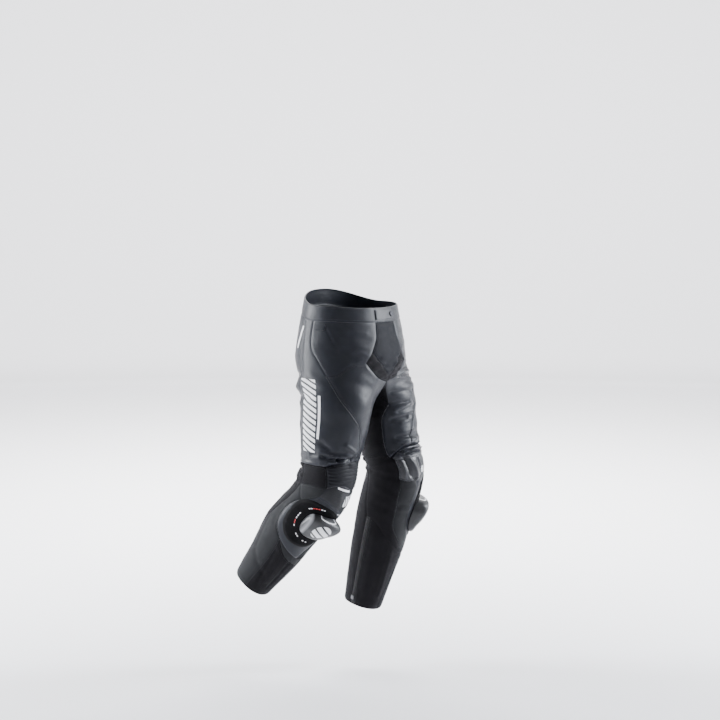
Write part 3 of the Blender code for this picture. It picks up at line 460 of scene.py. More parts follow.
RIB_PITCH = 7.0
RIB_HEIGHT = 2.6
RIB_FALL = 0.09
RIB_FADE = 7.0
FINE = 4.0
OVERLAY_MARGIN = 1.4
SEAM_DIP = 1.2
SEAM_WIDTH = 2.4
# A distance at which no seam is felt
FAR = 50.0

# The thigh's lower end: seam, panels above it, panels below it
THIGH_END = (
    ("thigh_low_1", ("outer_thigh",), ("knee_side",)),
    ("thigh_low_2", ("outer_thigh",), ("knee_accordion",)),
    ("thigh_low_3", ("front_thigh",), ("knee_accordion",)),
    ("thigh_low_4", ("back_thigh",), ("knee_back",)),
)
ROLL = dict(height=2.2, far=6.0, width=4.5, tuck=2.2, edge=2.6, under=2.4)

PAD = dict(centre=(43.5, 612.0), half=(52.0, 78.0), squareness=2.6, wall=2.6, edge=1.4, round=0.045)
SLIDER = dict(half=(38.0, 43.0), squareness=3.0, stiff=0.4, lean=0.3)
SLIDER_RINGS = table(
    "size height",
    (1.0, 11),
    (0.985, 16),
    (0.955, 20.5),
    (0.93, 22.6),
    (0.89, 25),
    (0.84, 26.2),
    (0.78, 27),
    (0.6, 28.7),
    (0.45, 29.5),
    (0.0, 30),
)
SLIDER_FALL = table("down share", (-1, 1.15), (-0.6, 1.1), (-0.27, 1.0), (0.15, 0.82), (0.5, 0.56), (1, 0.3))
SEAM_GAP = 0.3
TAB = dict(a_1=72.0, a_2=94.0, u_1=50.0, u_2=68.0, nose=6.0, wall=1.6)
STRIP = dict(top=(125.0, 66.0), end=(137.0, 120.0), half=4.0, wall=0.5, lift=0.05)
WAIST_TAB = dict(half_x=32.0, u_1=6.0, u_2=36.0, wall=2.0, lift=1.0)


# Shape of the garment

def smooth(x):
    """0 to 1, flat at both ends."""
    x = np.clip(x, 0, 1)
    return x * x * (3 - 2 * x)


def curve(x, xs, ys):
    """Smooth curve through a table's points, with the slope of its neighbours at each."""
    slope = np.gradient(ys, xs)
    i = np.clip(np.searchsorted(xs, x) - 1, 0, len(xs) - 2)
    h = xs[i + 1] - xs[i]
    t = np.clip((x - xs[i]) / h, 0, 1)
    start = (1 + 2 * t) * (1 - t) ** 2 * ys[i] + t * (1 - t) ** 2 * h * slope[i]
    return start + t * t * (3 - 2 * t) * ys[i + 1] + t * t * (t - 1) * h * slope[i + 1]


def unit(v):
    return v / np.maximum(np.linalg.norm(v, axis=-1, keepdims=True), 1e-9)


def read_at(where, run, points):
    """Each column of points, read along their run."""
    return np.stack([np.interp(where, run, points[:, k]) for k in range(points.shape[1])], -1)


def run_along(points):
    """Distance along a line at each of its points."""
    return np.concatenate([[0], np.cumsum(np.linalg.norm(np.diff(points, axis=0), axis=1))])


def seam_dip(distance):
    """How deep the cloth sinks at a distance from a seam."""
    return SEAM_DIP * np.exp(-(distance / SEAM_WIDTH) ** 2)


def centreline(leg):
    """Centre points and directions of a leg for each millimetre of v."""
    v = np.arange(-80.0, HEM + 60.0)
    bend = smooth((v - leg["knee"][0]) / (leg["knee"][1] - leg["knee"][0]))
    back = np.radians(leg["thigh_back"] + (leg["shin_back"] - leg["thigh_back"]) * bend)
    out = np.radians(leg["thigh_out"] + (leg["shin_out"] - leg["thigh_out"]) * bend)
    way = np.stack([leg["side"] * np.sin(out) * np.cos(back), np.sin(back), -np.cos(back) * np.cos(out)], 1)
    way = unit(way)
    points = np.cumsum(way, 0)
    at_hip = np.searchsorted(v, -leg["hip"][2])
    return v, points - points[at_hip] + np.array(leg["hip"], float), way


for one_leg in LEGS.values():
    one_leg["line"] = centreline(one_leg)


def rounded(angle, squareness):
    """Sine and cosine of a squarish ring."""
    s, c = np.sin(np.radians(angle)), np.cos(np.radians(angle))
    power = 2 / squareness
    return np.sign(s) * np.abs(s) ** power, np.sign(c) * np.abs(c) ** power


def leg_surface(leg, a, v):
    """A point on the ring of a leg."""
    rings = leg["rings"]
    along, centres, ways = leg["line"]
    centre, way = read_at(v, along, centres), read_at(v, along, ways)
    outward = np.zeros_like(way)
    outward[..., 0] = leg["side"]
    outward = unit(outward - (outward * way).sum(-1, keepdims=True) * way)
    forward = np.cross(way, outward)
    forward = forward * np.where(forward[..., 1:2] > 0, -1, 1)
    s, c = rounded(a, LEG_SQUARENESS)
    side = s * np.where(s > 0, curve(v, rings["v"], rings["outer"]), curve(v, rings["v"], rings["inner"]))
    fore = c * np.where(c > 0, curve(v, rings["v"], rings["front"]), curve(v, rings["v"], rings["back"]))
    return centre + outward * side[..., None] + forward * fore[..., None]


def pelvis_surface(side, angle, v):
    """A point on the pelvis; angle is 0 at the centre front and 180 at the centre back."""
    s, c = rounded(angle, PELVIS_SQUARENESS)
    front = curve(v, PELVIS["v"], PELVIS["front"])
    back = curve(v, PELVIS["v"], PELVIS["back"])
    x = side * np.abs(s) * curve(v, PELVIS["v"], PELVIS["half"])
    y = -c * np.where(c > 0, front, back)
    tilt = 1 - smooth(v / 160.0)
    lift = np.where(y > 0, BACK_RISE * (y / back) ** 2, -FRONT_DROP * (y / front) ** 2)
    return np.stack([x, y, tilt * lift - v], -1)


def base_surface(leg, a, v):
    """The garment without folds, in millimetres."""
    share = np.clip((a - FRONT_EDGE) / (BACK_EDGE - FRONT_EDGE), 0, 1)
    start = HIP_BLEND + (CROTCH - HIP_BLEND) * (2 * share - 1) ** 2
    turn = smooth((v - start) / (LEG_TOP - start))[..., None]
    return pelvis_surface(leg["side"], 180 * share, v) * (1 - turn) + leg_surface(leg, a, v) * turn


def ridge_sum(folds, leg, a, u):
    """Sum of soft ridges and troughs at a place on a leg."""
    total = np.zeros(np.shape(u))
    for shift in (0, -360, 360):
        x, y = (a + shift) * MM_PER_DEGREE, u
        for k in range(len(folds["leg"])):
            if folds["leg"][k] * leg["side"] < 0:
                continue
            x_1, y_1 = folds["a_1"][k] * MM_PER_DEGREE, folds["u_1"][k]
            x_2, y_2 = folds["a_2"][k] * MM_PER_DEGREE, folds["u_2"][k]
            length = math.hypot(x_2 - x_1, y_2 - y_1)
            along = ((x - x_1) * (x_2 - x_1) + (y - y_1) * (y_2 - y_1)) / length
            across = ((x - x_1) * (y_2 - y_1) - (y - y_1) * (x_2 - x_1)) / length
            beyond = np.maximum(0, np.maximum(-along, along - length))
            distance = (across ** 2 + beyond ** 2) / folds["width"][k] ** 2
            total = total + folds["height"][k] * np.exp(-distance)
    return total


# Unevenness of worn leather: the length and the height of its waves
WEAR = ((22.0, 0.4), (8.0, 0.13))
WAVES = np.random.default_rng(7).normal(size=(28, 4))


def unevenness(points, scale, height):
    """Gentle unevenness of worn leather: waves in many directions."""
    total = np.zeros(len(points))
    for x, y, z, phase in WAVES:
        way = np.array([x, y, z * 1.4]) / scale
        total += np.sin(points @ way + phase * 3)
    return total * height / math.sqrt(len(WAVES))


def surface(leg, a, u):
    """Points and outward normals of the garment, without folds."""
    a, u = np.asarray(a, float), np.asarray(u, float)
    v = np.interp(u, leg["cut"]["u"], leg["cut"]["v"])
    a = a + np.interp(u, leg["turn"]["u"], leg["turn"]["a"])
    step = 1.5
    around_1, around_2 = a - step, a + step
    on_hip = (v < LEG_TOP - step) | ((a > FRONT_EDGE) & (a < BACK_EDGE))
    around_1 = np.where(on_hip, np.maximum(around_1, FRONT_EDGE), around_1)
    around_2 = np.where(on_hip, np.minimum(around_2, BACK_EDGE), around_2)
    down_1 = np.where(on_hip, v - step, np.maximum(v - step, LEG_TOP))
    points = base_surface(leg, a, v)
    around = base_surface(leg, around_2, v) - base_surface(leg, around_1, v)
    down = base_surface(leg, a, v + step) - base_surface(leg, a, down_1)
    return points, unit(np.cross(down, around) * leg["side"])


def worn_surface(leg, a, u):
    """Points and normals with the large folds, the creases and the unevenness of wear."""
    points, normals = surface(leg, a, u)
    height = ridge_sum(FOLDS, leg, a, u) + ridge_sum(CREASES, leg, a, u)
    for scale, amount in WEAR:
        height = height + unevenness(points, scale, amount)
    return points + normals * height[..., None], normals


# Pattern: seams and loops

def bend_line(points, step):
    """A smooth line through points given as (a, u), with a point about every step."""
    points = np.array(points, float)
    run = run_along(points * (MM_PER_DEGREE, 1))
    count = max(2, int(round(run[-1] / step)) + 1)
    where = np.linspace(0, run[-1], count)
    if len(points) == 2:
        return read_at(where, run, points)
    return np.stack([curve(where, run, points[:, k]) for k in range(2)], 1)


def seam_points(name):
    """Points of a seam from its first corner to its last."""
    first, last, middle = SEAMS[name]
    points = np.array([CORNERS[first], *middle, CORNERS[last]], float)
    if name in ACROSS_INNER:
        points[:, 0] -= np.where(points[:, 0] > 180, 360, 0)
    return bend_line(points, FINE)


def loop_points(panel_name):
    """The outline of a panel as one closed run of (a, u); its seams follow each other by shared corners."""
    names = PANELS[panel_name][2]
    first, last = SEAMS[names[0]][:2]
    here = first if last in SEAMS[names[1]][:2] else last
    loop = []
    for name in names:
        run = seam_points(name)
        forward = SEAMS[name][0] == here
        here = SEAMS[name][1] if forward else SEAMS[name][0]
        loop.extend(run[:-1] if forward else run[:0:-1])
    loop = np.array(loop)
    if panel_name in INNER_SIDE:
        loop[:, 0] -= np.where(loop[:, 0] > 180, 360, 0)
    return loop if turns_left(loop) else loop[::-1]


def turns_left(loop):
    x, y = loop[:, 0], loop[:, 1]
    return (x * np.roll(y, -1) - np.roll(x, -1) * y).sum() > 0


def oval(centre, half, squareness, count):
    """A squarish oval as (a, u)."""
    s, c = rounded(np.arange(count) * 360.0 / count, squareness)
    return np.stack([centre[0] + half[0] * c, centre[1] + half[1] * s], 1)


def oval_size(flat, centre, half, squareness):
    """How large the squarish oval through flat points is, as a share of half."""
    along = np.abs(flat[:, 0] / MM_PER_DEGREE - centre[0]) / half[0]
    down = np.abs(flat[:, 1] - centre[1]) / half[1]
    return (along ** squareness + down ** squareness) ** (1 / squareness)


def inside(points, loop):
    """Which points lie within a loop."""
    x, y = points[:, :1], points[:, 1:]
    x_1, y_1 = loop[:, 0], loop[:, 1]
    x_2, y_2 = np.roll(x_1, -1), np.roll(y_1, -1)
    crosses = (y_1 > y) != (y_2 > y)
    at = x_1 + (y - y_1) * (x_2 - x_1) / np.where(y_2 == y_1, 1, y_2 - y_1)
    return (crosses & (x < at)).sum(1) % 2 == 1


def line_distance(points, line):
    """Distance from points to the nearest stretch of an open line, in the flat pattern."""
    best = np.full(len(points), 1e9)
    for a, b in zip(line[:-1], line[1:]):
        way = b - a
        t = np.clip(((points - a) @ way) / max(float(way @ way), 1e-9), 0, 1)
        best = np.minimum(best, np.linalg.norm(points - a - way * t[:, None], axis=1))
    return best


def clearance(points, loop):
    """Distance from points to the nearest edge of a loop."""
    return line_distance(points, np.concatenate([loop, loop[:1]]))


def grid_points(loop, step_y=0.9 * FINE, margin=0.4 * FINE):
    """Points inside a loop, in staggered rows."""
    low, high = loop.min(0), loop.max(0)
    x, y = np.meshgrid(np.arange(low[0], high[0], FINE), np.arange(low[1] + step_y / 2, high[1], step_y))
    x = x + np.where(np.arange(len(x)) % 2, FINE / 2, 0)[:, None]
    points = np.stack([x.ravel(), y.ravel()], 1)
    points = points[inside(points, loop)]
    return points[clearance(points, loop) > margin]


# Meshes

def triangulate(loop, points, inner_loops=()):
    """Flat triangles of a panel. Returns points, faces and, for each inner loop, which faces lie in it."""
    coords = [Vector(p) for p in loop]
    faces = [list(range(len(loop)))]
    for inner in inner_loops:
        inner = inner if turns_left(inner) else inner[::-1]
        faces.append(list(range(len(coords), len(coords) + len(inner))))
        coords.extend(Vector(p) for p in inner)
    coords.extend(Vector(p) for p in points)
    out = delaunay_2d_cdt(coords, [], faces, 1, 1e-4)
    flat = np.array([tuple(p) for p in out[0]])
    kept = [(face, origin) for face, origin in zip(out[2], out[5]) if 0 in origin]
    triangles = np.array([face for face, _ in kept])
    marks = np.array([[k + 1 in origin for k in range(len(inner_loops))] for _, origin in kept])
    a, b, c = flat[triangles[:, 0]], flat[triangles[:, 1]], flat[triangles[:, 2]]
    area = (b[:, 0] - a[:, 0]) * (c[:, 1] - a[:, 1]) - (b[:, 1] - a[:, 1]) * (c[:, 0] - a[:, 0])
    triangles[area < 0] = triangles[area < 0][:, ::-1]
    return flat, triangles, marks


def border(faces):
    """The closed border of a set of faces, as directed edges."""
    edges = set()
    for a, b, c in faces.tolist():
        edges.update(((a, b), (b, c), (c, a)))
    return [edge for edge in edges if (edge[1], edge[0]) not in edges]


def face_vectors(points, faces):
    """Normals of the faces, as long as twice their areas."""
    corner = points[faces]
    return np.cross(corner[:, 1] - corner[:, 0], corner[:, 2] - corner[:, 0])


def face_out(base, normals, faces):
    """Turns the faces so that they point along the normals."""
    facing = (face_vectors(base, faces) * normals[faces[:, 0]]).sum()
    return faces if facing > 0 else faces[:, ::-1]


def grid_faces(rows, across):
    """Triangles of a grid of points, row by row."""
    a = (np.arange(rows - 1)[:, None] * across + np.arange(across - 1)[None, :]).ravel()
    below = a + across
    return np.concatenate([np.stack([a, below, below + 1], 1), np.stack([a, below + 1, a + 1], 1)])


def flat_area(points, faces):
    """Area of a skin in square metres, from points in millimetres."""
    return float(np.linalg.norm(face_vectors(points, faces), axis=1).sum() / 2) * MM * MM


def closed_wall(name, outer, inner, faces, look, flat, edge):
    """A piece between an outer and an inner skin with the same faces. Edge is the distance from its seam."""
    used = np.unique(faces)
    index = np.full(len(outer), -1)
    index[used] = np.arange(len(used))
    count = len(used)
    top = index[faces]
    rim = []
    for a, b in border(faces):
        rim.append((index[b], index[a], index[a] + count))
        rim.append((index[b], index[a] + count, index[b] + count))
    solid = np.concatenate([top, top[:, ::-1] + count, np.array(rim)])
    points = np.concatenate([outer[used], inner[used]]) * MM
    mesh = bpy.data.meshes.new(name)
    mesh.from_pydata(points.tolist(), [], solid.tolist())
    cut = np.zeros((2 * count, 3))
    cut[:count, :2] = cut[count:, :2] = flat[used]
    cut[:, 2] = FAR
    cut[:count, 2] = edge[used]
    mesh.attributes.new("cut", "FLOAT_VECTOR", "POINT").data.foreach_set("vector", cut.ravel())
    mesh.shade_smooth()
    mesh.set_sharp_from_angle(angle=math.radians(55))
    return place_piece(name, mesh, look)


def put(name, data):
    """A new object in the scene."""
    piece = bpy.data.objects.new(name, data)
    bpy.context.scene.collection.objects.link(piece)
    return piece


def place_piece(name, data, look):
    """Puts a mesh or a curve in the scene with its material and body."""
    data.materials.append(MATERIALS[look])
    piece = put(name, data)
    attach(piece, "root")
    return piece


def rib_height(a, u):
    """Horizontal ribs of the panel above the knee; they follow its upper seam."""
    top = CORNERS["knee_top_front"][1] + RIB_FALL * np.maximum(0, a - 5)
    wave = 0.5 * (1 - np.cos(2 * np.pi * (u - top) / RIB_PITCH))
    return RIB_HEIGHT * wave ** 0.7


def cut_size(leg, loop):
    """Width and length of a panel's cut: its longest runs across and down the leg, in metres."""
    sizes = []
    for axis in (0, 1):
        longest = 0.0
        low, high = loop[:, 1 - axis].min(), loop[:, 1 - axis].max()
        for level in np.linspace(low, high, 15)[1:-1]:
            line = np.full((60, 2), level)
            line[:, axis] = np.linspace(loop[:, axis].min(), loop[:, axis].max(), len(line))
            within = inside(line * (MM_PER_DEGREE, 1), loop * (MM_PER_DEGREE, 1))
            points = surface(leg, line[:, 0], line[:, 1])[0]
            step = np.linalg.norm(np.diff(points, axis=0), axis=1)
            longest = max(longest, step[within[1:] & within[:-1]].sum() + step.mean())
        sizes.append(longest * MM)
    return sizes


def declare_sheet(size, area):
    """Grows or shrinks a panel's cut from its longest runs until its area fits, as a leaning panel's box is a
    little larger than its longest runs; the result is neither kept nor returned.
    """
    width, length = size
    while area > 0.9 * width * length:
        width, length = width * 1.04, length * 1.04
    while area < 0.36 * width * length:
        width, length = width * 0.97, length * 0.97


def leg_panel(key, panel_name):
    """One panel of a leg, with what lies on it."""
    leg = LEGS[key]
    cloth, look, _ = PANELS[panel_name]
    if key == "L":
        look = LEFT_LOOKS.get(panel_name, look)
    wall = STRETCH if cloth == "stretch" else LEATHER
    loop = loop_points(panel_name)
    scaled = loop * (MM_PER_DEGREE, 1)
    overlays = overlays_on(key, panel_name)
    inner_loops = [overlay["loop"] * (MM_PER_DEGREE, 1) for overlay in overlays]
    points = grid_points(scaled, RIB_PITCH / 6, 1.0) if cloth == "ribbed" else grid_points(scaled)
    for inner in inner_loops:
        points = points[clearance(points, inner) > OVERLAY_MARGIN]
    for overlay in overlays:
        extra = overlay.get("points")
        if extra is not None:
            points = np.concatenate([points[~inside(points, inner_loops[-1])], extra])
    flat, faces, marks = triangulate(scaled, points, inner_loops)
    a, u = flat[:, 0] / MM_PER_DEGREE, flat[:, 1]
    base, normals = worn_surface(leg, a, u)
    edge = clearance(flat, scaled)
    base = base - normals * (seam_dip(edge) - overhang(panel_name, flat))[:, None]
    faces_out = face_out(base, normals, faces)
    raised = np.zeros(len(a))
    if cloth == "ribbed":
        raised = rib_height(a, u) * smooth(edge / RIB_FADE)
    piece = closed_wall(f"cloth_{panel_name}_{key}", base + normals * raised[:, None], base - normals * wall,
                        faces_out, look, flat, edge)
    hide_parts(f"{panel_name}_{key}")
    declare_sheet(cut_size(leg, loop), flat_area(base, faces_out))
    for k, overlay in enumerate(overlays):
        lay_on(overlay, base, normals, flat, faces_out[marks[:, k]], inner_loops[k])


def overhang(panel_name, flat):
    """The thigh's leather rolls over its lower seam, and the knee's cloth starts under it."""
    total = np.zeros(len(flat))
    for seam_name, above, below in THIGH_END:
        if panel_name not in above + below:
            continue
        far = line_distance(flat, seam_points(seam_name) * (MM_PER_DEGREE, 1))
        if panel_name in above:
            total = np.maximum(total, ROLL["height"] * np.exp(-((far - ROLL["far"]) / ROLL["width"]) ** 2))
            total = total - ROLL["tuck"] * np.exp(-(far / ROLL["edge"]) ** 2)
        else:
            total = total - ROLL["under"] * np.exp(-(far / ROLL["width"]) ** 2)
    return total


def lay_on(overlay, base, normals, flat, faces, loop):
    """A piece on a panel, made from the panel's own points, moved out. A stiff one rises one way."""
    used = np.unique(faces)
    stiff = overlay.get("stiff", 0.0)
    low = base + normals * overlay["lift"]
    high = low.copy()
    ways = unit(normals[used] * (1 - stiff) + unit(normals[used].mean(0)) * stiff)
    high[used] += ways * overlay["height"](flat[used])[:, None]
    edge = np.zeros(len(flat))
    edge[used] = clearance(flat[used], loop)
    middle = overlay.get("middle", (0, 0))
    piece = closed_wall(overlay["name"], high, low, faces, overlay["look"], flat - middle, edge)
    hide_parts(overlay["node"])
    if overlay.get("sheet"):
        declare_sheet(np.ptp(loop, axis=0) * MM, flat_area(base, faces))


def slider_heights(leg):
    """How high the slider stands over the pad: its rim, then its crown, lower towards its lower end."""
    middle_a, middle_u = leg["slider"]

    def heights(flat):
        size = oval_size(flat, leg["slider"], SLIDER["half"], SLIDER["squareness"])
        height = np.interp(size, SLIDER_RINGS["size"][::-1], SLIDER_RINGS["height"][::-1])
        lean = 1 - SLIDER["lean"] * (flat[:, 0] / MM_PER_DEGREE - middle_a) / SLIDER["half"][0]
        down = (flat[:, 1] - middle_u) / SLIDER["half"][1]
        return height * lean * np.interp(down, SLIDER_FALL["down"], SLIDER_FALL["share"])

    return heights


def slider_points(leg):
    """Points of the slider's rings inside its rim."""
    found = [np.array([leg["slider"]]) * (MM_PER_DEGREE, 1)]
    for size in (0.995, 0.98, 0.955, 0.93, 0.9, 0.86, 0.82, 0.78, 0.68, 0.56, 0.45, 0.3, 0.15):
        half = [size * part for part in SLIDER["half"]]
        count = max(10, int(90 * size))
        found.append(oval(leg["slider"], half, SLIDER["squareness"], count) * (MM_PER_DEGREE, 1))
    return np.concatenate(found)


def pad_height(flat):
    """The pad is softly crowned at its bound edge."""
    size = oval_size(flat, PAD["centre"], PAD["half"], PAD["squareness"])
    return PAD["wall"] - PAD["edge"] * smooth((size - 1 + PAD["round"]) / PAD["round"])


def strip_loop():
    """Outline of the strip on the hip: two straight sides and rounded ends."""
    top, end = np.array(STRIP["top"]), np.array(STRIP["end"])
    half = np.array([STRIP["half"] / MM_PER_DEGREE, STRIP["half"]])
    nose = np.array([(-0.7, 0.7), (0, 1), (0.7, 0.7)]) * half
    down, up = np.linspace(0.06, 0.94, 12)[:, None], np.linspace(0.94, 0.06, 12)[:, None]
    way, side = end - top, half * (1, 0)
    return np.concatenate([top + way * down - side, end + nose, top + way * up + side, top - nose])


def tab_loop():
    """Outline of the tab on the hip, with one rounded end."""
    middle, half = (TAB["u_1"] + TAB["u_2"]) / 2, (TAB["u_2"] - TAB["u_1"]) / 2
    nose = [(TAB["a_1"] + TAB["nose"] * (1 + math.cos(t)), middle - half * math.sin(t))
            for t in np.radians(np.linspace(90, 270, 9))]
    return np.array(nose + [(TAB["a_2"], TAB["u_2"]), (TAB["a_2"], TAB["u_1"])])


def overlays_on(key, panel_name):
    """What lies on a panel of a leg."""
    leg = LEGS[key]
    if panel_name == "shin_front":
        return [
            dict(name=f"pile_hook_pad_{key}", node=f"hook_pad_{key}", look="hook", lift=SEAM_GAP,
                 loop=oval(PAD["centre"], PAD["half"], PAD["squareness"], 110), height=pad_height),
            dict(name=f"puck_{key}", node=f"slider_{key}", look="puck", lift=2 * SEAM_GAP + PAD["wall"],
                 loop=oval(leg["slider"], SLIDER["half"], SLIDER["squareness"], 90),
                 height=slider_heights(leg), stiff=SLIDER["stiff"], points=slider_points(leg),
                 middle=np.array(leg["slider"]) * (MM_PER_DEGREE, 1)),
        ]
    if panel_name == "seat":
        return [dict(name=f"print_hip_strip_{key}", node=f"hip_strip_{key}", look="white", lift=STRIP["lift"],
                     loop=strip_loop(), height=flat_height(STRIP["wall"]), sheet=True)]
    if panel_name == "hip_front":
        return [dict(name=f"cloth_hip_tab_{key}", node=f"hip_tab_{key}", look="leather", lift=SEAM_GAP,
                     loop=tab_loop(), height=flat_height(TAB["wall"]), sheet=True)]
    return []


def flat_height(amount):
    return lambda flat: np.full(len(flat), amount)


def both_sides(x, u):
    """Worn points and normals at x (degrees from the centre front, minus on the right) and u. The two legs'
    sides are mixed near the centre."""
    angle = FRONT_EDGE + np.abs(x)
    left, left_normals = worn_surface(LEGS["L"], angle, u)
    right, right_normals = worn_surface(LEGS["R"], angle, u)
    own = 0.5 + 0.5 * smooth(np.abs(x) / 16)[:, None]
    mirror = np.array([-1, 1, 1]) * (1 - own)
    on_left = (x >= 0)[:, None]
    mixed = np.where(on_left, left * own + right * mirror, right * own + left * mirror)
    return mixed, np.where(on_left, left_normals, right_normals)


def fly_panel():
    """Shield over the fly, from one hip front to the other."""
    right = np.concatenate([seam_points("fly_side"), seam_points("fly_diagonal")[1:]])
    right = (right - (FRONT_EDGE, 0)) * (MM_PER_DEGREE, 1)
    left = right[::-1] * (-1, 1)
    across = (seam_points("waist_1")[1:-1] - (FRONT_EDGE, 0)) * (MM_PER_DEGREE, 1)
    middle = np.array([[0.0, WAISTBAND]])
    loop = np.concatenate([right, left[1:], across[::-1] * (-1, 1), middle, across])
    loop = np.array([p for n, p in enumerate(loop) if not np.allclose(p, loop[n - 1], atol=1e-6)])
    loop = loop[np.argsort(np.arctan2(loop[:, 1] - FLY_MIDDLE, loop[:, 0]))]
    flat, faces, _ = triangulate(loop, grid_points(loop))
    base, normals = both_sides(flat[:, 0] / MM_PER_DEGREE, flat[:, 1])
    edge = clearance(flat, loop)
    base = base - normals * seam_dip(edge)[:, None]
    faces = face_out(base, normals, faces)
    piece = closed_wall("cloth_fly_panel", base, base - normals * LEATHER, faces, "fly", flat, edge)
    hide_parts("fly_panel")
    declare_sheet(np.ptp(loop, axis=0) * MM, flat_area(base, faces))


def waist_ring(u):
    """Points and normals all round the waist at u."""
    run = np.concatenate([seam_points(f"waist_{k}")[:-1] for k in (1, 2, 3, 4)])
    angles = np.concatenate([run[:, 0], [BACK_EDGE]])
    left, left_normals = worn_surface(LEGS["L"], angles, np.full(len(angles), u))
    right, right_normals = worn_surface(LEGS["R"], angles, np.full(len(angles), u))
    points = np.concatenate([left, right[::-1][1:]])
    return points, np.concatenate([left_normals, right_normals[::-1][1:]])


# The waistband's rounded edges: how deep it sinks at distances down from its top
BAND_SINK = table("u sink", (0, 1.3), (1.2, 0.4), (3, 0),
                  (WAISTBAND - 5, 0), (WAISTBAND - 2, 0.5), (WAISTBAND, 1.3))


def waistband():
    """The band round the waist, softly rounded at its upper edge, open at the centre front under its tab."""
    low = WAISTBAND - np.array([2, 0.2])
    rows = np.concatenate([[0.0, 1.2, 3.0], np.linspace(7, WAISTBAND - 5, 8), low])
    sink = np.interp(rows, BAND_SINK["u"], BAND_SINK["sink"])
    base, normals = [], []
    for u, amount in zip(rows, sink):
        points, vectors = waist_ring(u)
        base.append(points - vectors * amount)
        normals.append(vectors)
    count = len(base[0])
    base, normals = np.concatenate(base), np.concatenate(normals)
    faces = face_out(base, normals, grid_faces(len(rows), count))
    base[::count] += (SEAM_GAP / 2, 0, 0)
    base[count - 1::count] -= (SEAM_GAP / 2, 0, 0)
    turn = run_along(base[:count])
    flat = np.stack([np.tile(turn, len(rows)), np.repeat(rows, count)], 1)
    edge = np.minimum(flat[:, 1], WAISTBAND - flat[:, 1])
    inner = base - normals * WAISTBAND_WALL
    piece = closed_wall("cloth_waistband", base, inner, faces, "leather", flat, edge)
    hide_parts("waistband")


def waist_tab():
    """The tab that closes the waistband over the centre front."""
    columns = np.linspace(-1, 1, 25)
    rows = np.linspace(-1, 1, 13)
    half_u = (WAIST_TAB["u_2"] - WAIST_TAB["u_1"]) / 2
    middle = (WAIST_TAB["u_2"] + WAIST_TAB["u_1"]) / 2
    across, down = np.meshgrid(columns, rows)
    across, down = across.ravel(), down.ravel()
    narrow = np.where(across > 0.7, np.sqrt(np.maximum(0.09, 1 - ((across - 0.7) / 0.33) ** 2)), 1)
    x, u = across * WAIST_TAB["half_x"] * 0.9 / MM_PER_DEGREE, middle + down * half_u * narrow
    base, normals = both_sides(x, u)
    faces = face_out(base, normals, grid_faces(len(rows), len(columns)))
    low = base + normals * WAIST_TAB["lift"]
    flat = np.stack([x * MM_PER_DEGREE, u], 1)
    edge = np.minimum(half_u * (1 - np.abs(down)), WAIST_TAB["half_x"] * (1 - np.abs(across)))
    crown = WAIST_TAB["wall"] - 0.8 * np.exp(-(edge / 1.2) ** 2)
    piece = closed_wall("cloth_waist_tab", low + normals * crown[:, None], low, faces, "leather", flat, edge)
    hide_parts("waist_tab")
    declare_sheet((2 * WAIST_TAB["half_x"] * MM, 2 * half_u * MM), flat_area(base, faces))


# The saddle: the handles of its middle line from its ends, where that line leaves the legs' edges,
# how strongly its rows pull away from the edges, how steeply they may, and half its width in the flat
GUSSET = {"front": (0, 34, -48), "back": (0, -44, -44), "from": 25, "over": 80, "pull": 0.6, "rise": 0.3,
          "half": 60}


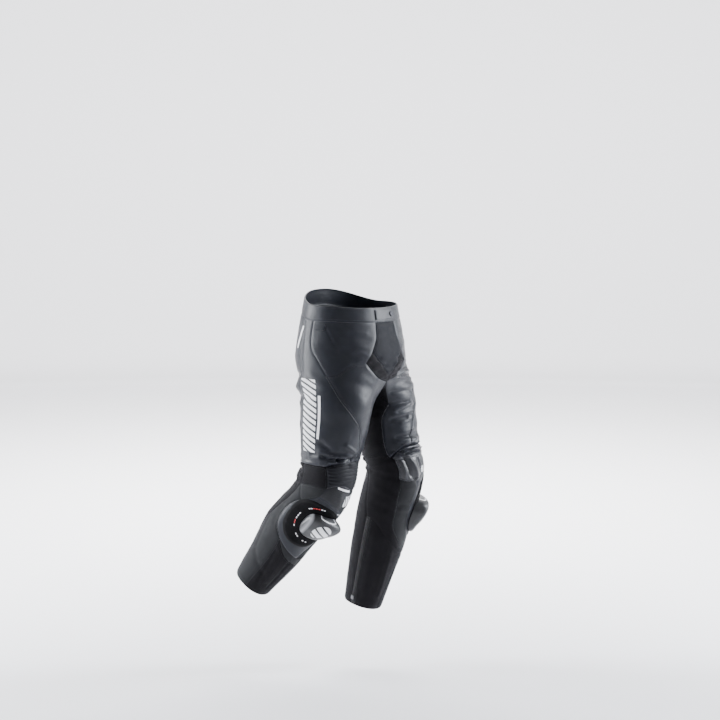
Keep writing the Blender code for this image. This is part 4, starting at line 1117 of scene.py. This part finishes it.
def crotch_gusset():
    """Saddle between the legs, from the fly's tip to the seat."""
    names = ("front_1", "front_2", "inner_arc", "rear_2", "rear_1")
    runs = []
    for name in names:
        run = seam_points(name)
        run = run[::-1] if name.startswith("rear") else run
        runs.append(run if name == names[0] else run[1:])
    border_line = np.concatenate(runs)
    sides = []
    for key in ("R", "L"):
        points, normals = worn_surface(LEGS[key], border_line[:, 0], border_line[:, 1])
        sides.append((points - normals * SEAM_DIP, normals))
    front, back = sides[0][0][0] * (0, 1, 1), sides[0][0][-1] * (0, 1, 1)
    run = run_along(sides[0][0])
    t = (run / run[-1])[:, None]
    low_1, low_2 = front + GUSSET["front"], back + GUSSET["back"]
    middle = (1 - t) ** 3 * front + 3 * t * (1 - t) ** 2 * low_1 + 3 * t * t * (1 - t) * low_2 + t ** 3 * back
    between = (sides[0][0] + sides[1][0]) / 2 * (0, 1, 1)
    from_tip = np.minimum(run, run[-1] - run)[:, None]
    middle = between + (middle - between) * smooth((from_tip - GUSSET["from"]) / GUSSET["over"])
    columns = []
    for share in np.linspace(-1, 1, 21):
        side, (points, normals) = (-1, sides[0]) if share < 0 else (1, sides[1])
        leave = unit(np.cross(normals, np.gradient(points, axis=0)))
        leave = leave * np.sign((leave * (points - middle)).sum(1, keepdims=True) + 1e-9)
        leave[:, 2] = np.minimum(leave[:, 2], GUSSET["rise"])
        reach = np.linalg.norm(points - middle, axis=1, keepdims=True)
        reach = np.minimum(reach, 1.5 * np.abs(points[:, :1]) + 0.01)
        s = abs(share)
        start = np.array([side, 0, 0]) * reach
        h = 2 * s ** 3 - 3 * s ** 2 + 1, s ** 3 - 2 * s ** 2 + s, 3 * s ** 2 - 2 * s ** 3, s ** 3 - s ** 2
        pull = GUSSET["pull"]
        columns.append(h[0] * middle + h[1] * start * pull + h[2] * points + h[3] * leave * reach * pull)
    grid = np.stack(columns, 1)[1:-1]
    rows, across = grid.shape[:2]
    base = grid.reshape(-1, 3)
    faces = grid_faces(rows, across)
    normals = np.zeros_like(base)
    for k in range(3):
        np.add.at(normals, faces[:, k], face_vectors(base, faces))
    normals = unit(normals)
    if normals[len(base) // 2][2] > 0:
        faces, normals = faces[:, ::-1], -normals
    half = GUSSET["half"]
    flat = np.stack([np.tile(np.linspace(-1, 1, across) * half, rows), np.repeat(run[1:-1], across)], 1)
    base = base + normals * unevenness(base, 10.0, 0.4)[:, None]
    edge = half - np.abs(flat[:, 0])
    piece = closed_wall("cloth_crotch_gusset", base, base - normals * STRETCH, faces, "stretch", flat, edge)
    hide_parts("crotch_gusset")
    width = np.linalg.norm(np.diff(grid, axis=1), axis=2).sum(1).max() * MM
    declare_sheet((width, run[-1] * MM * 0.75), flat_area(base, faces))


# Sewing

def boxes_along(name, rows, size, look):
    """Many small blocks as one mesh. Each row is (points, ways, normals); size is length, width, height."""
    points = np.concatenate([row[0] for row in rows])
    ways = np.concatenate([row[1] for row in rows])
    outs = np.concatenate([row[2] for row in rows])
    across = unit(np.cross(outs, ways))
    length, width, height = size
    ring = np.array([(-0.5, 0.0, 0), (-0.3, -0.5, 0), (0.3, -0.5, 0), (0.5, 0.0, 0),
                     (0.3, 0.5, 0), (-0.3, 0.5, 0), (-0.25, 0.0, 1), (0.25, 0.0, 1)])
    shape = np.array([(0, 1, 6), (1, 2, 7), (1, 7, 6), (2, 3, 7), (3, 4, 7), (4, 5, 6), (4, 6, 7), (5, 0, 6),
                      (0, 5, 1), (5, 4, 1), (4, 2, 1), (4, 3, 2)])
    corner = (points[:, None] + ways[:, None] * ring[None, :, :1] * length
              + across[:, None] * ring[None, :, 1:2] * width
              + outs[:, None] * (ring[None, :, 2:] - 0.35) * height)
    faces = (shape[None] + (np.arange(len(points)) * len(ring))[:, None, None]).reshape(-1, 3)
    mesh = bpy.data.meshes.new(name)
    mesh.from_pydata((corner.reshape(-1, 3) * MM).tolist(), [], faces.tolist())
    place_piece(name, mesh, look)


def dipped(leg, a, u, distance):
    """Worn points sunk as they are at a distance from a seam, and their normals."""
    points, normals = worn_surface(leg, a, u)
    return points - normals * seam_dip(distance), normals


def beside(run, distance):
    """A line beside a seam, in the flat pattern."""
    flat = run * (MM_PER_DEGREE, 1)
    way = unit(np.gradient(flat, axis=0))
    return (flat + np.stack([-way[:, 1], way[:, 0]], 1) * distance) / (MM_PER_DEGREE, 1)


def row_along(points, normals, step):
    """Places a fixed step apart along a run of points, with the way and the normal there."""
    run = run_along(points)
    count = max(2, int(run[-1] / step))
    where = (np.arange(count) + 0.5) * run[-1] / count
    way = unit(read_at(where + 1, run, points) - read_at(where - 1, run, points))
    index = where / run[-1] * (len(points) - 1)
    return read_at(where, run, points), way, unit(read_at(index, np.arange(len(points)), normals))


# Rows of stitches: seam, and at which distances beside it. Plus is to the left of the seam's run
STITCH_ROWS = rows_of("""
side_hip 3.6 7.2
side_thigh 3.6 7.2
arch_rises -3.6 -6.8
arch_falls 3.6
back_hip 3.6 -3.6
back_thigh 3.6 -3.6
fly_side 3.6 -3.6
fly_diagonal 3.6 -3.6
inner_front 3.6 6.8
thigh_low_2 -3.6
thigh_low_1 -3.6
seat_fold 3.6 -3.6
under_fold 3.6 -3.6
centre_back -4.0
cup_top 3.6
cup_low_1 -3.6
cup_low_2 -3.6 3.6
side_low 3.6
side_knee 3.6 -3.6
upper_low 3.6 -3.6
pad_arc 3.6
pad_inner 3.6 -3.6
pad_under 3.6
low_under -3.6
shin_back_seam -3.6
shin_side_seam 3.6
inner_strip -3.6
zip_back 3.6 6.4
zip_front -3.6 -6.4
hem_1 -11.0
hem_2 -11.0
hem_3 -11.0
hem_5 -11.0
""")
# A stitch's length, width and height, and how far apart they are
STITCH = (3.1, 0.75, 0.55)
STITCH_STEP = 4.4


def stitches():
    """Rows of stitches beside the seams, and round the waistband."""
    for key, leg in LEGS.items():
        rows = []
        for name, *distances in STITCH_ROWS:
            for distance in map(float, distances):
                line = beside(seam_points(name), distance)[1:-1]
                if len(line) < 3:
                    continue
                line = line[(line[:, 0] > FRONT_EDGE) | (line[:, 1] > LEG_TOP)]
                rows.append(row_along(*dipped(leg, line[:, 0], line[:, 1], abs(distance)), STITCH_STEP))
        boxes_along(f"stitches_{key}", rows, STITCH, "thread")
    rows = [row_along(*waist_ring(u), STITCH_STEP) for u in (5.0, WAISTBAND - 6.0)]
    boxes_along("stitches_waist", rows, STITCH, "thread")


# Piped seams: the roll's radius, and how far beside the seam's groove it stands
PIPED = dict(side_thigh=(0.95, -2.0), inner_front=(1.0, 1.8), cup_low_2=(1.0, -1.0), inner_cup=(1.2, 1.4),
             cup_top=(0.9, 1.2), pad_arc=(0.9, 1.2))


def piping():
    """Thin rolled edges that stand along the main seams."""
    for key, leg in LEGS.items():
        for name, (radius, offset) in PIPED.items():
            line = beside(seam_points(name), offset)
            points, normals = dipped(leg, line[:, 0], line[:, 1], abs(offset))
            tube(f"piping_{name}_{key}", points + normals * 0.35 * radius, radius, "piping")


def tube(name, points, radius, look):
    """A thin round line as a curve."""
    data = bpy.data.curves.new(name, "CURVE")
    data.dimensions = "3D"
    data.bevel_depth = radius * MM
    data.bevel_resolution = 2
    data.use_fill_caps = True
    spline = data.splines.new("POLY")
    spline.points.add(len(points) - 1)
    spline.points.foreach_set("co", np.concatenate([points * MM, np.ones((len(points), 1))], 1).ravel())
    place_piece(name, data, look)


# The calf zip's teeth: the angle of each row and its shift along the chain, its ends, step, lift and tooth
ZIP = dict(rows=((250.2, 0.0), (251.8, 1.3)), u_1=652, u_2=876, step=2.6, lift=0.2, tooth=(2.6, 1.3, 1.2))


def zip_teeth():
    """Two rows of teeth down each calf zip."""
    for key, leg in LEGS.items():
        rows = []
        for a, shift in ZIP["rows"]:
            line = bend_line([(a, ZIP["u_1"]), (a, ZIP["u_2"])], FINE)
            points, normals = worn_surface(leg, line[:, 0], line[:, 1])
            place, way, outs = row_along(points + normals * ZIP["lift"], normals, ZIP["step"])
            rows.append((place + way * shift, unit(np.cross(outs, way)), outs))
        boxes_along(f"zip_teeth_{key}", rows, ZIP["tooth"], "metal")


# Dashes on the pad: their oval, how high they lie, their size, and their angles round the slider
DASH = dict(half=(51.0, 62.0), squareness=2.3, lift=SEAM_GAP + PAD["wall"] + 0.2, size=(6.5, 3.0, 0.5))
DASHES = dict(white=(36, 42, 69, 75, 108, 114, 6, 0, -6, -28, -54, -61, -80, -88), red=(48, 55, 62, -14, -20))


def pad_dashes():
    """Short plain dashes round the slider, on the pad."""
    half_a, half_u = DASH["half"]
    for key, leg in LEGS.items():
        middle_a, middle_u = leg["slider"]
        for look, angles in DASHES.items():
            rows = []
            for angle in angles:
                s, c = rounded(np.array([angle]), DASH["squareness"])
                a, u = middle_a + half_a * c, middle_u - half_u * s
                points, normals = dipped(leg, a, u, FAR)
                ahead, _ = dipped(leg, a + s * 1.5, u + 1.5 * c, FAR)
                rows.append((points + normals * DASH["lift"], unit(ahead - points), normals))
            boxes_along(f"pad_dashes_{look}_{key}", rows, DASH["size"], look)


# Materials

PRINT_WHITE = (0.78, 0.78, 0.8)


def operator(operation, turned=False):
    """A method that puts a math node between two values."""
    def method(self, other):
        return self.nodes.math(operation, *((other, self) if turned else (self, other)))

    return method


class Value:
    """The output of a node, which can be added, multiplied and compared."""

    __add__ = __radd__ = operator("ADD")
    __sub__ = operator("SUBTRACT")
    __rsub__ = operator("SUBTRACT", turned=True)
    __mul__ = __rmul__ = operator("MULTIPLY")
    __truediv__ = operator("DIVIDE")
    __gt__ = operator("GREATER_THAN")
    __lt__ = operator("LESS_THAN")
    either = operator("MAXIMUM")

    def __init__(self, nodes, socket):
        self.nodes, self.socket = nodes, socket

    def within(self, low, high):
        """1 between two limits, else 0."""
        return (self > low) * (self < high)

    def wrapped(self, pitch):
        """What is left after whole steps of a pitch."""
        return self.nodes.math("WRAP", self, pitch, 0.0)


class Nodes:
    """Short way to wire a material's nodes."""

    def __init__(self, name):
        self.material = bpy.data.materials.new(name)
        self.material.use_nodes = True
        self.tree = self.material.node_tree

    def link(self, value, socket):
        if isinstance(value, Value):
            self.tree.links.new(value.socket, socket)
        else:
            socket.default_value = value

    def add(self, kind, inputs=(), out=0, **settings):
        """One of the outputs of a new node."""
        node = self.tree.nodes.new(kind)
        for key, value in settings.items():
            setattr(node, key, value)
        for key, value in dict(inputs).items():
            self.link(value, node.inputs[key])
        return Value(self, node.outputs[out])

    def math(self, operation, a, b=0.0, c=0.0):
        return self.add("ShaderNodeMath", enumerate((a, b, c)), operation=operation)

    def mix(self, share, a, b):
        return self.add("ShaderNodeMix", {0: share, 6: a, 7: b}, out=2, data_type="RGBA")

    def noise(self, scale, detail=3.0, roughness=0.55):
        place = self.add("ShaderNodeTexCoord", out="Object")
        inputs = dict(Vector=place, Scale=scale, Detail=detail, Roughness=roughness)
        return self.add("ShaderNodeTexNoise", inputs, out="Fac")

    def cells(self, scale, feature="DISTANCE_TO_EDGE"):
        place = self.add("ShaderNodeTexCoord", out="Object")
        inputs = dict(Vector=place, Scale=scale)
        return self.add("ShaderNodeTexVoronoi", inputs, out="Distance", feature=feature)

    def cut(self):
        """x, u and the distance from the seam, all in millimetres."""
        vector = self.add("ShaderNodeAttribute", out="Vector", attribute_name="cut")
        return [self.add("ShaderNodeSeparateXYZ", {0: vector}, out=k) for k in range(3)]

    def bump(self, height, strength, distance, below=None):
        inputs = dict(Height=height, Strength=strength, Distance=distance)
        if below is not None:
            inputs["Normal"] = below
        return self.add("ShaderNodeBump", inputs)

    def finish(self, **inputs):
        """Sets the shader's inputs and returns the material."""
        shader = self.tree.nodes["Principled BSDF"]
        for key, value in inputs.items():
            self.link(value, shader.inputs[key.replace("_", " ")])
        return self.material


def toned(colour, factor, more=0.0):
    """A colour made lighter or darker, with its alpha."""
    return tuple(min(1, c * factor + more) for c in colour) + (1,)


def leather(name, colour, rough, marks=None, perforated=False, grain=0.35, wear=0.25, shine=0.26):
    """Grained leather, a little lighter where it is worn, with prints and holes if it has them."""
    n = Nodes(name)
    x, u, edge = n.cut()
    base = n.mix(n.noise(26.0, 4.0), toned(colour, 0.78), toned(colour, 1.25))
    base = n.mix(n.math("POWER", 2.718, edge * -0.45) * wear, base, toned(colour, 2.0, 0.006))
    bump = n.bump(n.cells(1100.0) * 0.9 + n.noise(900.0, 2.0) * 0.35, grain, 0.00035)
    roughness = n.noise(60.0, 3.0) * 0.22 + (rough - 0.11)
    if marks is not None:
        mask = marks(x, u) * (n.noise(420.0, 4.0) > 0.33)
        base = n.mix(mask, base, toned(PRINT_WHITE, 1.0))
        roughness = roughness + mask * 0.12
        bump = n.bump(mask, 0.5, 0.0002, bump)
    if perforated:
        hole = holes(x, u, 3.4, 0.55) * (edge > 7.0)
        base = n.mix(hole, base, (0.004, 0.004, 0.004, 1))
        bump = n.bump(1.0 - hole, 0.7, 0.0006, bump)
    return n.finish(Base_Color=base, Roughness=roughness, Normal=bump, Specular_IOR_Level=shine,
                    Sheen_Weight=0.02, Sheen_Roughness=0.45)


def holes(x, u, pitch, radius):
    """Even rows of small round holes in the pattern's own place."""
    row = u.nodes.math("FLOOR", u / pitch)
    dx = (x + u.nodes.math("MODULO", row, 2.0) * (pitch / 2)).wrapped(pitch) - pitch / 2
    du = u.wrapped(pitch) - pitch / 2
    return dx * dx + du * du < radius * radius


def thigh_marks(x, u):
    """A column of slanted bars down the outer thigh, with a thin line before it."""
    bars = (u + x * 0.5).wrapped(17.0).within(0.0, 10.5) * u.within(206.0, 413.0) * x.within(134.0, 178.0)
    return bars.either(x.within(123.8, 129.6) * u.within(250.0, 372.0))


def cap_marks(x, u):
    """Slanted bars on the right knee cap and a line along its upper edge."""
    bars = (x + u * 0.6).wrapped(11.0).within(0.0, 7.6) * u.within(501.0, 524.0) * x.within(-42.0, 5.0)
    return bars.either((u + x * 0.12).within(489.6, 493.2) * x.within(-6.0, 44.0))


def small_cap_marks(x, u):
    """Three short slanted bars near the lower edge of the left knee cap."""
    return (x + u * 0.6).wrapped(6.0).within(0.0, 3.8) * u.within(517.0, 531.0) * x.within(4.0, 20.0)


def stretch_cloth():
    """Knitted stretch cloth, near black with a purple cast, in fine upright ribs."""
    n = Nodes("stretch_cloth")
    x, u, _ = n.cut()
    cloud = n.noise(30.0, 4.0)
    knit = n.math("SINE", x * 4.2) * 0.5 + n.math("SINE", u * 5.6) * 0.35 + n.noise(1200.0, 2.0) * 0.6
    base = n.mix(cloud, (0.0026, 0.0024, 0.0034, 1), (0.0052, 0.0047, 0.0064, 1))
    return n.finish(Base_Color=base, Roughness=cloud * 0.15 + 0.62, Normal=n.bump(knit, 0.45, 0.0003),
                    Sheen_Weight=0.045, Sheen_Roughness=0.4, Sheen_Tint=(0.75, 0.7, 0.85, 1),
                    Specular_IOR_Level=0.1)


def hook_pile():
    """Loop pile of the hook pad, with a smooth bound edge."""
    n = Nodes("hook_pile")
    bound = n.cut()[2] < 9.0
    height = n.noise(1500.0, 4.0, 0.7) + n.cells(700.0, "F1")
    base = n.mix(bound, (0.0035, 0.0035, 0.0042, 1), (0.0028, 0.0028, 0.0035, 1))
    return n.finish(Base_Color=base, Roughness=0.95 - bound * 0.25, Normal=n.bump(height, 0.8, 0.0009),
                    Specular_IOR_Level=0.12)


def puck_plastic():
    """Moulded slider: dark crown, a pale band at its outer end whose soft fade to both sides is painted
    shading, a line and a round patch of bars.
    """
    n = Nodes("puck_plastic")
    dx, du, _ = n.cut()
    base = n.mix(n.noise(40.0, 3.0), (0.009, 0.0095, 0.011, 1), (0.015, 0.0155, 0.018, 1))
    # The slider's pale stripe, brightest on its middle line and fading into the dark crown over about 8 mm
    # each side; the soft fade is painted shading
    beside_band = n.math("ABSOLUTE", dx + du * 0.08 - 44.0)
    band = n.math("MAXIMUM", 1.0 - beside_band * 0.13, 0.0) * du.within(-36.0, 33.0)
    base = n.mix(band, base, (0.26, 0.265, 0.28, 1))
    round_x, round_u = (dx - 3.0) / 22.0, (du + 2.0) / 31.0
    patch = (round_x * round_x + round_u * round_u < 1.0) * ((du + dx * 0.6).wrapped(22.0) > 6.5)
    line = du.within(-42.1, -41.3) * dx.within(-24.0, 24.0)
    base = n.mix(patch.either(line), base, (0.75, 0.75, 0.77, 1))
    scratch = n.noise(240.0, 5.0, 0.7)
    return n.finish(Base_Color=base, Roughness=scratch * 0.25 + 0.28, Normal=n.bump(scratch, 0.12, 0.0004))


def plain(name, colour, rough, metallic=0.0, scale=600.0, strength=0.2):
    """A simple finish with a fine uneven surface."""
    n = Nodes(name)
    cloud = n.noise(scale, 3.0)
    return n.finish(Base_Color=n.mix(cloud, toned(colour, 0.85), toned(colour, 1.12)), Metallic=metallic,
                    Roughness=cloud * 0.15 + (rough - 0.07), Normal=n.bump(cloud, strength, 0.0002))


MATERIALS = dict(
    leather=leather("black_leather", (0.0065, 0.0078, 0.0125), 0.41),
    thigh_print=leather("black_leather_printed", (0.0065, 0.0078, 0.0125), 0.41, marks=thigh_marks),
    # The fly: a darker copy of the black leather; its darker colour is painted shade that dims the lamp light
    # it catches. It is also rougher and less shiny
    fly=leather("fly_leather_painted_shade", (0.0048, 0.0054, 0.0085), 0.54, wear=0.08, shine=0.06),
    cup_print=leather("black_leather_perforated", (0.0058, 0.0062, 0.0085), 0.42, marks=cap_marks,
                      perforated=True, shine=0.24),
    # Left knee copies: base colours lighter than the right knee's leathers, painted light for a knee that
    # lies in shade
    soft_knee=leather("leather_painted_light", (0.0115, 0.0125, 0.0175), 0.32, wear=0.15, shine=0.45),
    soft_cap=leather("perforated_leather_painted_light", (0.009, 0.0097, 0.0135), 0.31, marks=small_cap_marks,
                     perforated=True, shine=0.4),
    rib=leather("ribbed_leather", (0.0062, 0.0066, 0.0092), 0.58, wear=0.1, shine=0.15),
    # Piping: the black leather in a colour over twice as light, a painted highlight along the roll; it is
    # also smoother and shinier
    piping=leather("piping_leather_painted_highlight", (0.016, 0.0175, 0.023), 0.34, grain=0.1, wear=0.0, shine=0.45),
    grey=leather("grey_leather", (0.0085, 0.009, 0.0105), 0.62, grain=0.3, wear=0.12, shine=0.13),
    pale=leather("pale_leather", (0.0105, 0.011, 0.0125), 0.64, grain=0.3, wear=0.12, shine=0.14),
    white=plain("white_print", PRINT_WHITE, 0.5),
    red=plain("red_print", (0.5, 0.03, 0.03), 0.5),
    stretch=stretch_cloth(),
    tape=plain("zip_tape", (0.006, 0.006, 0.007), 0.75, scale=1500.0, strength=0.5),
    thread=plain("thread", (0.022, 0.023, 0.027), 0.6, scale=2000.0),
    hook=hook_pile(),
    puck=puck_plastic(),
    metal=plain("dark_nickel", (0.16, 0.16, 0.17), 0.35, metallic=1.0),
    snap=plain("black_nickel", (0.035, 0.035, 0.04), 0.5, metallic=1.0),
)


# Camera, floor and light

CAMERA = dict(azimuth=-55.0, elevation=5.0, distance=6.0, focal_px=2105.0, picture=720, sensor=36.0,
              origin_px=(351.0, 303.0), centre_px=360.0, scale=2.85)
# The floor is level up to a share of its rings, then rises; in metres
FLOOR = dict(z=-1.07, reach=9.0, level=0.625, rise=6.6)
# Lamps: name, place and target from the middle (right, back, up) in metres, size, power and colour
LAMPS = (
    ("left", (-2.9, -0.3, 1.0), (0, 0, 0), (1.2, 2.4), 235, (0.93, 0.96, 1.0)),
    ("right", (2.8, -0.5, 1.1), (0, 0, 0), (0.8, 2.2), 200, (0.9, 0.94, 1.0)),
    ("front", (0.8, 3.4, 2.4), (0, 0, 0), (1.6, 1.6), 8, (1, 1, 1)),
    ("floor", (0, -3.4, 3.0), (0, -3.5, 0), (3.6, 3.6), 330, (1, 1, 1)),
    ("wall", (0, -2.4, 3.8), (0, -8, 0.6), (3.0, 3.0), 900, (1, 1, 1)),
)


def camera():
    """The photograph's view: the waist's middle lands on its pixel. Returns the ways right and back."""
    a, e = math.radians(CAMERA["azimuth"]), math.radians(CAMERA["elevation"])
    back = Vector((math.sin(a) * math.cos(e), -math.cos(a) * math.cos(e), math.sin(e)))
    right = Vector((math.cos(a), math.sin(a), 0))
    up = back.cross(right)
    across, down = ((CAMERA["centre_px"] - px) * CAMERA["scale"] * MM for px in CAMERA["origin_px"])
    data = bpy.data.cameras.new("camera")
    data.sensor_width = CAMERA["sensor"]
    data.lens = CAMERA["sensor"] * CAMERA["focal_px"] / CAMERA["picture"]
    data.clip_end = 100
    place = right * across - up * down + back * CAMERA["distance"]
    piece = put("camera", data)
    piece.matrix_world = Matrix.Translation(place) @ Matrix((right, up, back)).transposed().to_4x4()
    bpy.context.scene.camera = piece
    return right, back


def floor():
    """A pale floor that rises into a backdrop behind the trousers, all round."""
    rings, around = 24, 64
    points, faces = [(0, 0, FLOOR["z"])], []
    for k in range(1, rings + 1):
        t = k / rings / FLOOR["level"]
        radius = FLOOR["reach"] * min(1, t)
        rise = FLOOR["rise"] * (max(0, t - 1) / (1 / FLOOR["level"] - 1)) ** 1.5
        for n in range(around):
            angle = 2 * math.pi * n / around
            points.append((radius * math.cos(angle), radius * math.sin(angle), FLOOR["z"] + rise))
    for n in range(around):
        faces.append((0, 1 + n, 1 + (n + 1) % around))
        for k in range(rings - 1):
            a, b = 1 + k * around + n, 1 + k * around + (n + 1) % around
            faces.append((a, a + around, b + around, b))
    mesh = bpy.data.meshes.new("floor")
    mesh.from_pydata(points, [], faces)
    mesh.shade_smooth()
    mesh.materials.append(Nodes("pale_floor").finish(Base_Color=(0.82, 0.82, 0.84, 1), Roughness=0.9))
    piece = put("floor", mesh)


def lights(right, back):
    """Lamps at both sides, a weak one in front, two for the floor and backdrop, and a bright room."""
    middle = Vector((0, 0, -0.45))
    for name, *places, size, power, colour in LAMPS:
        place, target = (middle + right * x + back * y + Vector((0, 0, z)) for x, y, z in places)
        data = bpy.data.lights.new(name, "AREA")
        data.shape = "RECTANGLE"
        data.size, data.size_y = size
        data.energy = power
        data.color = colour
        piece = put(name, data)
        piece.location = place
        piece.rotation_euler = (target - place).to_track_quat("-Z", "Y").to_euler()
    world = bpy.data.worlds.new("room")
    world.use_nodes = True
    world.node_tree.nodes["Background"].inputs[0].default_value = (0.95, 0.95, 0.97, 1)
    world.node_tree.nodes["Background"].inputs[1].default_value = 0.45
    bpy.context.scene.world = world


view_right, view_back = camera()
floor()
lights(view_right, view_back)

for leg_key in LEGS:
    for panel_key in PANELS:
        leg_panel(leg_key, panel_key)
fly_panel()
waistband()
waist_tab()
crotch_gusset()
stitches()
piping()
zip_teeth()
pad_dashes()
for node_name, look_name in (("waist_snap", "snap"), ("zip_slider_L", "metal"), ("zip_slider_R", "metal")):
    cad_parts[node_name].data.materials.clear()
    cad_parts[node_name].data.materials.append(MATERIALS[look_name])
